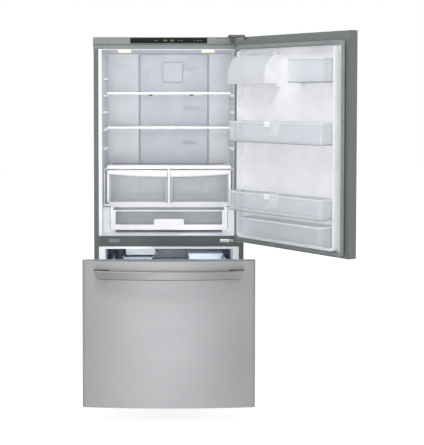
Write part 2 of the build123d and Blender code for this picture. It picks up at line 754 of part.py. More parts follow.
def runner_links():
    """Middle members of the two telescopic runners, drawn half way out with the drawer."""
    low, high = RAIL_LOW - LINK_WALL - 0.3, RAIL_HIGH + LINK_WALL + 0.3
    links = [channel(side, 315.4, 303, 24, 419, low, high, LINK_WALL) for side in (-1, 1)]
    return Pos(0, -LINK_OUT, 0) * Compound(links)


def ice_maker():
    """Ice maker under the freezer ceiling: mould with its motor head."""
    mould = rounded(block(-216, -84, 170, 420, 612, 656), 8, Axis.Y)
    hollow = rounded(block(-208, -92, 180, 400, 620, 657), 5, Axis.Y)
    head = rounded(block(-218, -70, 140, 170, 617, FREEZER_CEILING), 6, Axis.Y)
    bridge = block(-216, -84, 400, 420, 646, FREEZER_CEILING)
    return mould - hollow + head + bridge


def ice_maker_arm():
    """Bent wire that feels how full the ice bin is."""
    wire, x0, x1, z = 2, -69.9, -60, ARM_Z
    arm = rod((x0, 158, z), (x1, 158, z), wire)
    arm += rod((x1, 156, z), (x1, 398, z), wire)
    return arm + rod((x1, 398, z), (x1, 398, z - 22), wire)


def upper_tray():
    """Shallow slotted tray above the freezer tub."""
    tray = tub(-286, 286, 44, 500, 548, 592, 3, 6, 14)
    rim = ring_xy(-290, 290, 40, 504, 14, 590, 594, 16)
    for side in (-1, 1):
        rim += block(side * 312, side * 283, 52, 498, 564.2, 567.2)
        rim += block(side * 288, side * 283, 52, 498, 564.2, 592)
    for x in range(-240, 241, 40):
        tray -= block(x - 12, x + 12, 30, 60, 560, 578)
    return tray + rim


def ring_xy(x0, x1, y0, y1, width, z0, z1, corner):
    """Flat rim in plan."""
    centre = Pos((x0 + x1) / 2, (y0 + y1) / 2, z0)
    outer = centre * RectangleRounded(x1 - x0, y1 - y0, corner)
    inner = centre * RectangleRounded(x1 - x0 - 2 * width, y1 - y0 - 2 * width, max(corner - width, 4))
    return extrude(outer - inner, amount=z1 - z0)


# ---- fridge door ----
def door_caps():
    """Lower and upper end caps of the fridge door, each bored for its hinge pin."""
    bottom = slab_cap(DOOR_BOTTOM + CAP_SET, DOOR_BOTTOM + CAP_T)
    top = slab_cap(DOOR_TOP - CAP_T, DOOR_TOP - CAP_SET)
    bore = Pos(HINGE_X, HINGE_Y, DOOR_BOTTOM - 1) * extrude(Circle(PIN_R + 0.06), amount=DOOR_TOP)
    return Compound([on_door(bottom - bore), on_door(top - bore)])


def door_skin():
    """Bowed steel outer skin of the fridge door."""
    return on_door(slab_skin(DOOR_BOTTOM, DOOR_TOP))


def door_foam():
    """Insulation of the fridge door, clear of the hinge pins."""
    foam = slab_foam(DOOR_BOTTOM + CAP_T, DOOR_TOP - CAP_T)
    for z in (DOOR_BOTTOM, DOOR_TOP - 40):
        foam -= Pos(HINGE_X, HINGE_Y, z) * extrude(Circle(PIN_R + 2), amount=40)
    return on_door(foam)


def door_liner():
    """Formed inner liner: flat border, raised frame with drafted sides, and lugs under the bins."""
    y0 = DOOR_INNER - 4
    sheet = block(-DOOR_HALF + 0.4, DOOR_HALF - 0.4, y0, DOOR_INNER, DOOR_BOTTOM + 1, DOOR_TOP - 1)
    low, high = FRIDGE_FLOOR + 8, FRIDGE_CEILING - 4
    frame = door_frame(-325, 326, low, high, 26, 5)
    frame -= door_frame(BIN_FREE_END - 1, BIN_HINGE_END + 1.5, low + 20, high - 6, 3, -4)
    half = DOOR_HALF - 8
    bead = ring(-half, half, DOOR_BOTTOM + 6, DOOR_TOP - 6, 5, DOOR_INNER, DOOR_INNER + 3, 8)
    bead &= block(-half, half, DOOR_INNER, DOOR_INNER + 3, DOOR_BOTTOM, HOUSING_STEP - 8)
    liner = sheet + frame + bead
    lugs = [
        (BIN_FREE_END, LOWER_BIN_Z),
        (BIN_HINGE_END, LOWER_BIN_Z),
        (BIN_FREE_END, MIDDLE_BIN_Z),
        (BIN_HINGE_END, MIDDLE_BIN_Z),
        (BIN_FREE_END, TOP_BIN_Z),
        (BIN_HINGE_END, TOP_BIN_Z),
        (-102, TOP_BIN_Z),
        (62, TOP_BIN_Z),
    ]
    for x, z in lugs:
        liner += rounded(block(x - 10, x + 10, DOOR_INNER, DOOR_INNER + 24, z - 14, z), 3, Axis.Y)
    return on_door(liner)


def door_frame(x0, x1, z0, z1, corner, taper):
    """Raised rounded block on the inside of the fridge door."""
    plane = Plane(origin=((x0 + x1) / 2, DOOR_INNER, (z0 + z1) / 2), x_dir=(1, 0, 0), z_dir=(0, 1, 0))
    return extrude(plane * RectangleRounded(x1 - x0, z1 - z0, corner), amount=34, taper=taper)


def door_gasket():
    """Seal of the fridge door."""
    return on_door(gasket(-356, HINGE_X + 2, DOOR_BOTTOM + 8, DOOR_TOP - 40))


def door_handle():
    """Upright bow handle near the free edge of the fridge door."""
    bar = Rot(0, 90, 0) * bow_handle(860, 0, 0, 30, 20, 30)
    slope = math.degrees(math.atan(2 * DOOR_BULGE * HANDLE_X / DOOR_HALF**2))
    middle = (DOOR_BOTTOM + DOOR_TOP) / 2 - 20
    return on_door(Pos(HANDLE_X, door_face(HANDLE_X) - 0.15, middle) * Rot(0, 0, slope) * bar)


def door_bin(x_free, x_hinge, z0, z1, cut_x, cut_y):
    """Clear door bin with a thick rim; its free corner is round and its hinge corner is cut back."""
    y0 = DOOR_INNER + 0.2
    corner = 26
    outline = [
        Line((x_free, y0, z0), (x_free, BIN_REACH - corner, z0)),
        RadiusArc((x_free, BIN_REACH - corner, z0), (x_free + corner, BIN_REACH, z0), corner),
        Line((x_free + corner, BIN_REACH, z0), (x_hinge - cut_x, BIN_REACH, z0)),
        Line((x_hinge - cut_x, BIN_REACH, z0), (x_hinge, BIN_REACH - cut_y, z0)),
        Line((x_hinge, BIN_REACH - cut_y, z0), (x_hinge, y0, z0)),
        Line((x_hinge, y0, z0), (x_free, y0, z0)),
    ]
    plan = make_face(outline)
    room = Pos(0, 0, BIN_WALL) * offset(plan, -BIN_WALL - 2.5)
    mouth = Pos(0, 0, z1 - z0 - 8) * offset(plan, -BIN_WALL - 2.5)
    body = extrude(offset(plan, -2.5), amount=z1 - z0)
    body += extrude(Pos(0, 0, z1 - z0 - 8) * plan, amount=8)
    return body - extrude(room, amount=z1 - z0) - extrude(mouth, amount=12)


def bin_divider(x, z1):
    """White sliding divider that hooks over the rim of a door bin."""
    inside = BIN_REACH - BIN_WALL - 3
    plate = block(x - 1.5, x + 1.5, 20, inside, z1 - 62, z1 + 4)
    hook = block(x - 19, x + 19, inside - 4, BIN_REACH + 3.5, z1 + 0.5, z1 + 3.5)
    tab = rounded(block(x - 19, x + 19, BIN_REACH + 0.5, BIN_REACH + 3.5, z1 - 22, z1 + 3.5), 2, Axis.Y)
    return on_door(plate + hook + tab)


def middle_bin():
    """Middle door bin."""
    return on_door(door_bin(BIN_FREE_END, BIN_HINGE_END, MIDDLE_BIN_Z, 1304, 14, 16))


def lower_bin():
    """Lower door bin."""
    return on_door(door_bin(BIN_FREE_END, BIN_HINGE_END, LOWER_BIN_Z, 972, 14, 16))


def pocket_bin():
    """Small bin at the free edge, beside the dairy box."""
    return on_door(door_bin(BIN_FREE_END, -92, TOP_BIN_Z, 1592, 10, 10))


def base_pocket():
    """Deep fixed pocket at the foot of the door."""
    return on_door(door_bin(BIN_FREE_END, 236, FRIDGE_FLOOR + 28, 852, 20, 30))


def dairy_box():
    """White dairy box at the top hinge corner, with an eye at each end that carries its lid."""
    x0, x1, wall, eye = DAIRY_X0, BIN_HINGE_END, 3, 6
    axis_y, axis_z = LID_AXIS
    shell = extrude(dairy_outline(x0, 0), amount=x1 - x0, dir=(1, 0, 0))
    shell -= block(x0 + wall, x1 - wall, DOOR_INNER + wall, 120, TOP_BIN_Z + wall, 1700)
    for start in (x0, x1 - eye):
        shell += rod((start, axis_y, axis_z), (start + eye, axis_y, axis_z), LID_PIN_R + 2)
        shell += block(start, start + eye, axis_y - 5, axis_y + 5, DAIRY_TOP - 12, axis_z)
    shell -= rod((x0, axis_y, axis_z), (x1, axis_y, axis_z), LID_PIN_R + 0.06)
    return on_door(shell)


def dairy_outline(x, grow):
    """Side view of the dairy box: square at the back and floor, arched from the rim to the top."""
    y0 = DOOR_INNER + 0.2
    front, top, rim = 84 + grow, DAIRY_TOP + grow, TOP_BIN_Z + 46
    return make_face(
        [
            Line((x, y0, TOP_BIN_Z), (x, front, TOP_BIN_Z)),
            Line((x, front, TOP_BIN_Z), (x, front, rim)),
            ThreePointArc((x, front, rim), (x, front - 22, top - 30), (x, 14, top)),
            Line((x, 14, top), (x, y0, top)),
            Line((x, y0, top), (x, y0, TOP_BIN_Z)),
        ]
    )


def dairy_lid():
    """Clear arched lid of the dairy box, on a barrel whose ends turn in the eyes of the box."""
    x0, x1, notch = DAIRY_X0 - 1, BIN_HINGE_END + 0.5, 7.5
    axis_y, axis_z = LID_AXIS
    lid = extrude(dairy_outline(x0, 3.4), amount=x1 - x0, dir=(1, 0, 0))
    lid -= extrude(dairy_outline(x0, 0.5), amount=x1 - x0, dir=(1, 0, 0))
    lid &= block(x0, x1, 14, 120, TOP_BIN_Z + 4, 1700)
    lid -= block(x0, x0 + notch, 0, axis_y + 9, DAIRY_TOP - 20, 1700)
    lid -= block(x1 - notch, x1, 0, axis_y + 9, DAIRY_TOP - 20, 1700)
    lid += rod((x0 + notch, axis_y, axis_z), (x1 - notch, axis_y, axis_z), LID_PIN_R + 2)
    return on_door(lid + rod((x0 + 2, axis_y, axis_z), (x1 - 2, axis_y, axis_z), LID_PIN_R))


# ---- freezer drawer ----
def drawer_caps():
    """Lower and upper end caps of the drawer front."""
    bottom = slab_cap(DRAWER_BOTTOM + CAP_SET, DRAWER_BOTTOM + CAP_T)
    top = slab_cap(DRAWER_TOP - CAP_T, DRAWER_TOP - CAP_SET)
    return Compound([on_drawer(bottom), on_drawer(top)])


def drawer_skin():
    """Bowed steel skin of the drawer front."""
    return on_drawer(slab_skin(DRAWER_BOTTOM, DRAWER_TOP))


def drawer_foam():
    """Insulation of the drawer front."""
    return on_drawer(slab_foam(DRAWER_BOTTOM + CAP_T, DRAWER_TOP - CAP_T))


def drawer_liner():
    """Inner liner of the drawer front, with a raised frame."""
    y0 = DOOR_INNER - 4
    sheet = block(-DOOR_HALF + 0.4, DOOR_HALF - 0.4, y0, DOOR_INNER, DRAWER_BOTTOM + 1, DRAWER_TOP - 1)
    x0, x1, z0, z1 = -286, 286, 130, FREEZER_CEILING - 15
    plane = Plane(origin=((x0 + x1) / 2, DOOR_INNER, (z0 + z1) / 2), x_dir=(1, 0, 0), z_dir=(0, 1, 0))
    frame = extrude(plane * RectangleRounded(x1 - x0, z1 - z0, 26), amount=20, taper=8)
    frame -= extrude(plane * RectangleRounded(x1 - x0 - 50, z1 - z0 - 50, 14), amount=20)
    return on_drawer(sheet + frame)


def drawer_gasket():
    """Seal of the drawer front."""
    return on_drawer(gasket(-352, 352, DRAWER_BOTTOM + 24, DRAWER_TOP - 14))


def drawer_handle():
    """Bowed bar handle across the drawer front."""
    seat = door_face(328) - 0.15
    seat_in = door_face(302) - 0.15
    return on_drawer(Pos(0, 0, 650) * bow_handle(648, seat, seat_in, 30, 40, 38))


def drawer_rails():
    """Inner members of the telescopic runners, with the lips and cross rods that carry the tub."""
    rails = []
    for side in (-1, 1):
        bar = channel(side, 311, 303, DOOR_INNER, 410, RAIL_LOW, RAIL_HIGH, 2)
        ear = block(side * 311, side * 292, DOOR_INNER, DOOR_INNER + 3, 270, 324)
        lip = block(side * 310, side * 292, 0, 405, RAIL_LIP_Z, RAIL_LIP_Z + 3)
        rails.append(bar + ear + lip)
    frame = rails[0] + rails[1]
    for y in (15, 402):
        frame += rod((-310, y, 300), (310, y, 300), 3.5)
    return on_drawer(frame)


def freezer_tub():
    """Deep white tub of the freezer drawer, hung in its rails by a rib along each side."""
    body = tub(-290, 290, 27, 393, 130, 520, 3, 10, 26)
    body += ring_xy(-296, 296, 23, 397, 14, 516, 522, 28)
    rib_z = RAIL_LIP_Z + 3
    for side in (-1, 1):
        body += block(side * 283, side * 301, 60, 360, rib_z, rib_z + 3)
    return on_drawer(body)


# ---- write ----
NODES = {
    "outer_case": outer_case,
    "back_panel": back_panel,
    "cabinet_insulation": cabinet_insulation,
    "fridge_liner": fridge_liner,
    "freezer_liner": freezer_liner,
    "middle_rail": middle_rail,
    "control_housing": control_housing,
    "display_strip": display_strip,
    "light_switch": light_switch,
    "duct_cover": duct_cover,
    "lamp_lenses": lamp_lenses,
    "shelf_frames": shelf_frames,
    "shelf_glass": shelf_glass,
    "crisper_frame": crisper_frame,
    "crisper_left_tub": lambda: crisper_tub(-1),
    "crisper_left_handle": lambda: crisper_handle(-1),
    "crisper_right_tub": lambda: crisper_tub(1),
    "crisper_right_handle": lambda: crisper_handle(1),
    "pantry_tub": pantry_tub,
    "pantry_front": pantry_front,
    "hinge_plates": hinge_plates,
    "top_hinge_cover": top_hinge_cover,
    "toe_grille": toe_grille,
    "base_frame": base_frame,
    "rear_rollers": rear_rollers,
    "compressor": compressor,
    "condenser": condenser,
    "condenser_fan": lambda: fan_blades((1, 0, 0), CONDENSER_FAN),
    "machine_cover": machine_cover,
    "freezer_rear_panel": freezer_rear_panel,
    "evaporator": evaporator,
    "evaporator_fan": lambda: fan_blades((0, -1, 0), EVAPORATOR_FAN),
    "freezer_runners": fixed_runners,
    "runner_links": runner_links,
    "ice_maker": ice_maker,
    "ice_maker_arm": ice_maker_arm,
    "ice_bin": ice_bin,
    "upper_tray": upper_tray,
    "door_skin": door_skin,
    "door_caps": door_caps,
    "door_foam": door_foam,
    "door_liner": door_liner,
    "door_gasket": door_gasket,
    "door_handle": door_handle,
    "base_pocket": base_pocket,
    "lower_bin": lower_bin,
    "lower_divider": lambda: bin_divider(DIVIDER_X, 972),
    "middle_bin": middle_bin,
    "middle_divider": lambda: bin_divider(DIVIDER_X, 1304),
    "pocket_bin": pocket_bin,
    "dairy_box": dairy_box,
    "dairy_lid": dairy_lid,
    "drawer_skin": drawer_skin,
    "drawer_caps": drawer_caps,
    "drawer_foam": drawer_foam,
    "drawer_liner": drawer_liner,
    "drawer_gasket": drawer_gasket,
    "drawer_handle": drawer_handle,
    "drawer_rails": drawer_rails,
    "freezer_tub": freezer_tub,
}


def main():
    """Build every node and write it."""
    os.makedirs("parts", exist_ok=True)
    for name, make in NODES.items():
        export_step(make(), f"parts/{name}.step")


main()
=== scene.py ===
import logging
from dataclasses import dataclass, field
from enum import Enum
from typing import Any

import bmesh
import bpy
import numpy as np
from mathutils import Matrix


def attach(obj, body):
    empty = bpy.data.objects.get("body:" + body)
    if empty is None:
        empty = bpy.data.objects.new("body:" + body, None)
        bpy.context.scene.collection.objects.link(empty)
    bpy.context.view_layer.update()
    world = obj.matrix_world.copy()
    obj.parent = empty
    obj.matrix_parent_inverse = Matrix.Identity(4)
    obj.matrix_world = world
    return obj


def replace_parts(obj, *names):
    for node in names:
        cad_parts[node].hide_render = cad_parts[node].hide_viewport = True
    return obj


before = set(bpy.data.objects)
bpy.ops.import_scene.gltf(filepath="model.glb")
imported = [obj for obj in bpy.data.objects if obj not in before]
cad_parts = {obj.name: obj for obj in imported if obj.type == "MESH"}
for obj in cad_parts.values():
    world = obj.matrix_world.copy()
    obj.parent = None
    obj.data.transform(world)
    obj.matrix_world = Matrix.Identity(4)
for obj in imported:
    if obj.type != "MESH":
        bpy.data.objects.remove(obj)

LOG = logging.getLogger("refrigerator")
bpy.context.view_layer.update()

MM = 0.001
HINGE = np.array([0.358, -0.046, 0.0])
OPEN_ANGLE = np.radians(127.5)
DRAWER_OUT = 0.575
DOOR_INNER = -0.014
SLAB_HALF = 0.378
SLAB_EDGE = -0.070
SLAB_BULGE = 0.022
CORNERS = np.array([[1, 1], [-1, 1], [-1, -1], [1, -1]])

Point = tuple[float, float, float]
Pair = tuple[float, float]
Tree = bpy.types.NodeTree
Socket = bpy.types.NodeSocket


# ---- numbers and places ----
def linear(code: str) -> tuple[float, float, float, float]:
    """Turn an sRGB hex colour to the linear values that a shader takes.

    Args:
        code: Six hex digits, with or without a leading hash.

    Returns:
        Red, green, blue and an alpha of 1.
    """
    digits = code.lstrip("#")
    part = np.array([int(digits[i : i + 2], 16) for i in (0, 2, 4)]) / 255.0
    low = part / 12.92
    high = ((part + 0.055) / 1.055) ** 2.4
    red, green, blue = np.where(part <= 0.04045, low, high)
    return float(red), float(green), float(blue), 1.0


class Site(Enum):
    """Which moving part a piece is drawn on, before it is brought to where that part stands."""

    CABINET = "cabinet"
    DOOR = "door"
    DRAWER = "drawer"

    def place(self, points: np.ndarray) -> np.ndarray:
        """Bring points from the closed pose to the pose at rest.

        The drawer moves forward by its travel. The door turns about the upright hinge line:
        x' = x cos a - y sin a, y' = x sin a + y cos a.

        Args:
            points: Array whose last axis is x, y, z in metres.

        Returns:
            The points in the shared frame.
        """
        if self is Site.DOOR:
            cos, sin = np.cos(OPEN_ANGLE), np.sin(OPEN_ANGLE)
            return (points - HINGE) @ np.array([[cos, sin, 0.0], [-sin, cos, 0.0], [0.0, 0.0, 1.0]]) + HINGE
        if self is Site.DRAWER:
            return points - np.array([0.0, DRAWER_OUT, 0.0])
        return points


# ---- surfaces ----
def soft_edge(edge: float) -> tuple[np.ndarray, np.ndarray]:
    """Steps of a softened end: inset = edge * (1 - sin t), depth = edge * (1 - cos t), t over a quarter turn.

    Args:
        edge: Radius of the softening.

    Returns:
        How far the section draws in at each step, and how deep behind the end the step lies.
    """
    turn = np.linspace(0.0, np.pi / 2, 4)
    return edge * (1 - np.sin(turn)), edge * (1 - np.cos(turn))


def rounded_rectangle(
    width: float, height: float, radius: float, arc: int = 6
) -> tuple[np.ndarray, np.ndarray]:
    """Outline of a rectangle with round corners, and the way that points outwards from it.

    A corner point is its corner's centre plus radius times (cos t, sin t), with t over a quarter turn.

    Args:
        width: Size along the first axis.
        height: Size along the second axis.
        radius: Radius of the corners.
        arc: Count of steps in each corner.

    Returns:
        Points and outward directions, both as (n, 2) arrays.
    """
    turn = np.linspace(0.0, np.pi / 2, arc + 1)
    angle = (turn[None, :] + np.arange(4)[:, None] * np.pi / 2).ravel()
    out = np.stack([np.cos(angle), np.sin(angle)], axis=1)
    corner = CORNERS * (np.array([width, height]) / 2 - radius)
    return np.repeat(corner, arc + 1, axis=0) + radius * out, out


def link_object(name: str, data: bpy.types.ID) -> bpy.types.Object:
    """Make an object for a mesh, a lamp or a camera and put it in the scene.

    Args:
        name: Name of the object.
        data: What it shows.

    Returns:
        The object.
    """
    obj = bpy.data.objects.new(name, data)
    bpy.context.scene.collection.objects.link(obj)
    return obj


@dataclass
class Shell:
    """A closed mesh in the making: points and faces gathered from one or more surfaces."""

    points: list[np.ndarray] = field(default_factory=list)
    faces: list[list[int]] = field(default_factory=list)

    def add_grid(self, grid: np.ndarray, wrap_rows: bool = False) -> None:
        """Add a tube given as a grid of points: its columns go round, and flat faces close its ends.

        Point (i, j) has the number i * cols + j, and each quad joins rows i, i + 1 and columns j, j + 1.

        Args:
            grid: Array of (rows, cols, 3).
            wrap_rows: Whether the last row joins the first instead, as in a ring.
        """
        rows, cols = grid.shape[:2]
        base = sum(len(points) for points in self.points)
        self.points.append(grid.reshape(-1, 3))
        i, j = (part.ravel() for part in np.indices((rows if wrap_rows else rows - 1, cols)))
        i2, j2 = (i + 1) % rows, (j + 1) % cols
        quads = np.stack([i * cols + j, i2 * cols + j, i2 * cols + j2, i * cols + j2], axis=1)
        self.faces += (quads + base).tolist()
        if not wrap_rows:
            self.faces.append(list(range(base, base + cols))[::-1])
            self.faces.append(list(range(base + (rows - 1) * cols, base + rows * cols)))

    def add_sweep(
        self, path: np.ndarray, side: np.ndarray, up: np.ndarray, profile: np.ndarray, closed: bool
    ) -> None:
        """Carry a profile along a path: point = path + u * side + v * up.

        Args:
            path: Places along the path, (n, 3).
            side: Direction of the profile's first axis at each place, (n, 3).
            up: Direction of the profile's second axis at each place, (n, 3).
            profile: The closed profile, (m, 2).
            closed: Whether the path's end joins its start.
        """
        grid = path[:, None] + profile[:, :1] * side[:, None] + profile[:, 1:] * up[:, None]
        self.add_grid(grid, wrap_rows=closed)

    def add_block(self, x: Pair, y: Pair, z: Pair, edge: float) -> None:
        """Add a block with softened edges, as a profile that shrinks towards its two ends.

        Args:
            x: Its ends along X in metres, in either order.
            y: Its ends along Y.
            z: Its ends along Z.
            edge: Radius of its edges.
        """
        lo, hi = np.sort(np.array([x, y, z]), axis=1).T
        size, mid = hi - lo, (hi + lo) / 2
        inset, depth = soft_edge(edge)
        cut = np.concatenate([inset, inset[::-1]])
        along = np.concatenate([lo[1] + depth, hi[1] - depth[::-1]])
        rings = []
        for step, level in zip(cut, along):
            ring, _ = rounded_rectangle(size[0] - 2 * step, size[2] - 2 * step, max(edge - step, edge * 0.2), 3)
            rings.append(np.insert(ring + mid[[0, 2]], 1, level, axis=1))
        self.add_grid(np.array(rings))

    def add_lathe(
        self, origin: Point, axis: Point, profile: np.ndarray, sides: int = 24, flats: int = 0
    ) -> None:
        """Turn a profile about an axis: point = origin + h * axis + r * (cos t * a + sin t * b).

        Args:
            origin: Foot of the axis.
            axis: Direction of the axis.
            profile: Radius and height pairs, (m, 2), from one pole to the other.
            sides: Count of steps round the axis.
            flats: Count of flats of a nut or hexagon head, or 0 for a round one.
        """
        axis = np.asarray(axis, float) / np.linalg.norm(axis)
        spare = np.array([0.0, 0.0, 1.0]) if abs(axis[2]) < 0.9 else np.array([1.0, 0.0, 0.0])
        a = np.cross(axis, spare)
        a /= np.linalg.norm(a)
        b = np.cross(axis, a)
        angle = np.arange(sides) * 2 * np.pi / sides
        shape = np.ones(sides)
        if flats:
            step = 2 * np.pi / flats
            shape = np.cos(step / 2) / np.cos(np.mod(angle, step) - step / 2)
        ring = np.cos(angle)[:, None] * a + np.sin(angle)[:, None] * b
        radius = np.maximum(profile[:, 0], 1e-6)[:, None, None] * shape[None, :, None]
        grid = np.asarray(origin, float) + profile[:, 1][:, None, None] * axis + radius * ring
        self.add_grid(grid)

    def piece(
        self, name: str, finish: "Finish", body: str = "cabinet", site: Site = Site.CABINET, angle: float = 35.0
    ) -> bpy.types.Object:
        """Make the object, put it on its body and dress it.

        Args:
            name: Name of the piece.
            finish: Its finish.
            body: CAD body that carries it.
            site: Where its points were drawn.
            angle: Edges sharper than this many degrees stay crisp.

        Returns:
            The finished object, at the origin.
        """
        points = site.place(np.concatenate(self.points))
        mesh = bpy.data.meshes.new(name)
        mesh.from_pydata(points.tolist(), [], self.faces)
        work = bmesh.new()
        work.from_mesh(mesh)
        bmesh.ops.remove_doubles(work, verts=work.verts, dist=2e-6)
        bmesh.ops.recalc_face_normals(work, faces=work.faces)
        work.to_mesh(mesh)
        work.free()
        mesh.polygons.foreach_set("use_smooth", np.ones(len(mesh.polygons), dtype=bool))
        mesh.set_sharp_from_angle(angle=float(np.radians(angle)))
        mesh.materials.append(finish.build())
        obj = link_object(name, mesh)
        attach(obj, body)
        LOG.info("piece %s on %s, %d faces", name, body, len(mesh.polygons))
        return obj


# ---- finishes ----
def fresh_tree(owner: bpy.types.Material | bpy.types.World) -> Tree:
    """Give a material or a world an empty node tree.

    Args:
        owner: What the tree belongs to.

    Returns:
        The tree.
    """
    owner.use_nodes = True
    owner.node_tree.nodes.clear()
    return owner.node_tree


def add_node(tree: Tree, kind: str, inputs: dict[Any, Any] | None = None) -> bpy.types.Node:
    """Add one node and fill it in.

    Args:
        tree: Node tree that takes the node.
        kind: Type of the node.
        inputs: Properties by name, and inputs by name or number. A value is set, a socket is linked.

    Returns:
        The node.
    """
    node = tree.nodes.new(kind)
    for key, value in (inputs or {}).items():
        if isinstance(value, Socket):
            tree.links.new(value, node.inputs[key])
        elif isinstance(key, str) and key in node.bl_rna.properties:
            setattr(node, key, value)
        else:
            node.inputs[key].default_value = value
    return node


def compute(tree: Tree, operation: str, first: Any, second: Any = 0.0) -> Socket:
    """Work out one sum.

    Args:
        tree: Node tree that takes the node.
        operation: Name of the sum.
        first: Socket or number.
        second: Socket or number.

    Returns:
        The result's socket.
    """
    return add_node(tree, "ShaderNodeMath", {"operation": operation, 0: first, 1: second}).outputs[0]


def remap(
    tree: Tree, value: Any, source: Pair, target: Pair = (0.0, 1.0)
) -> Socket:
    """Stretch one range of numbers to another, and hold it at its ends.

    Args:
        tree: Node tree that takes the node.
        value: Socket to stretch.
        source: Pair that comes in.
        target: Pair that goes out.

    Returns:
        The result's socket.
    """
    ends = {"From Min": source[0], "From Max": source[1], "To Min": target[0], "To Max": target[1]}
    return add_node(tree, "ShaderNodeMapRange", {**ends, "Value": value}).outputs[0]


def mix_colours(tree: Tree, share: Any, first: Any, second: Any) -> Socket:
    """Blend two colours.

    Args:
        tree: Node tree that takes the node.
        share: Share of the second colour.
        first: Socket or sRGB hex colour.
        second: Socket or sRGB hex colour.

    Returns:
        The blend's socket.
    """
    pair = [linear(colour) if isinstance(colour, str) else colour for colour in (first, second)]
    mixed = add_node(tree, "ShaderNodeMix", {"data_type": "RGBA", 0: share, 6: pair[0], 7: pair[1]})
    return mixed.outputs[2]


@dataclass(frozen=True)
class Finish:
    """A material with a grain: two close colours, a roughness that wanders and a fine relief.

    Sizes are real ones in millimetres. The grain's size may differ along three axes, as on brushed
    steel, and those axes may be turned about the upright to follow the open door.
    """

    name: str
    colour: str
    other: str
    roughness: float
    grain_mm: float | Point = 1.5
    mottle_mm: float = 120.0
    relief_mm: float = 0.05
    spread: float = 0.04
    metallic: float = 0.0
    ior: float = 1.5
    specular: float = 0.5
    alpha: float = 1.0
    anisotropic: float = 0.0
    glow: float = 0.0
    turn: float = 0.0
    subsurface: float = 0.0
    across: bool = False

    def pattern(self, tree: Tree, coords: Socket) -> dict[str, Socket]:
        """Build the colour, the height and the roughness of the surface.

        The second colour's share grows with broad noise + 0.45 * fine noise.

        Args:
            tree: Node tree of the material.
            coords: Object coordinates in metres.

        Returns:
            Sockets named colour, height and rough.
        """
        grain = tuple((np.broadcast_to(self.grain_mm, 3) * MM).tolist())
        turn = {"Rotation": (0.0, 0.0, self.turn), "Scale": grain}
        laid = add_node(tree, "ShaderNodeMapping", {"vector_type": "TEXTURE", **turn, "Vector": coords})
        noise = (
            {"Scale": 1.0, "Detail": 3.0, "Vector": laid.outputs[0]},
            {"Scale": 1 / (MM * self.mottle_mm), "Detail": 2.0, "Vector": coords},
        )
        fine, broad = (add_node(tree, "ShaderNodeTexNoise", inputs).outputs["Fac"] for inputs in noise)
        blend = add_node(tree, "ShaderNodeMath", {"operation": "MULTIPLY_ADD", 0: fine, 1: 0.45, 2: broad})
        share = remap(tree, blend.outputs[0], (0.55, 0.9))
        smooth, dull = max(self.roughness - self.spread, 0.01), self.roughness + self.spread
        return {
            "colour": mix_colours(tree, share, self.colour, self.other),
            "height": fine,
            "rough": remap(tree, fine, (0.3, 0.7), (smooth, dull)),
        }

    def build(self) -> bpy.types.Material:
        """Make the material, or give back the one already made.

        Returns:
            The material.
        """
        ready = bpy.data.materials.get(self.name)
        if ready is not None:
            return ready
        material = bpy.data.materials.new(self.name)
        tree = fresh_tree(material)
        made = self.pattern(tree, add_node(tree, "ShaderNodeTexCoord").outputs["Object"])
        depth = {"Strength": 0.6, "Distance": MM * self.relief_mm}
        relief = add_node(tree, "ShaderNodeBump", {**depth, "Height": made["height"]})
        inputs = {
            "Base Color": made["colour"],
            "Roughness": made["rough"],
            "Normal": relief.outputs[0],
            "Metallic": made.get("metal", self.metallic),
            "IOR": self.ior,
            "Specular IOR Level": self.specular,
            "Alpha": self.alpha,
            "Anisotropic": self.anisotropic,
            "Subsurface Weight": self.subsurface,
            "Subsurface Scale": 0.004,
            "Emission Strength": self.glow,
            "Emission Color": linear(self.colour),
        }
        if self.across:
            inputs["Tangent"] = add_node(tree, "ShaderNodeCombineXYZ", {2: 1.0}).outputs[0]
        shader = add_node(tree, "ShaderNodeBsdfPrincipled", inputs)
        add_node(tree, "ShaderNodeOutputMaterial", {"Surface": shader.outputs[0]})
        return material


@dataclass(frozen=True)
class CellFinish(Finish):
    """A finish made of cells, such as the spangle of zinc or the pores of foam."""

    cell_mm: float = 8.0

    def pattern(self, tree: Tree, coords: Socket) -> dict[str, Socket]:
        """Build cells: each takes its own share of the second colour.

        Args:
            tree: Node tree of the material.
            coords: Object coordinates in metres.

        Returns:
            Sockets named colour, height and rough.
        """
        cells = add_node(tree, "ShaderNodeTexVoronoi", {"Scale": 1 / (MM * self.cell_mm), "Vector": coords})
        tone = add_node(tree, "ShaderNodeSeparateColor", {0: cells.outputs["Color"]}).outputs
        smooth, dull = self.roughness - self.spread, self.roughness + self.spread
        return {
            "colour": mix_colours(tree, tone[0], self.colour, self.other),
            "height": cells.outputs["Distance"],
            "rough": remap(tree, tone[1], (0.0, 1.0), (smooth, dull)),
        }


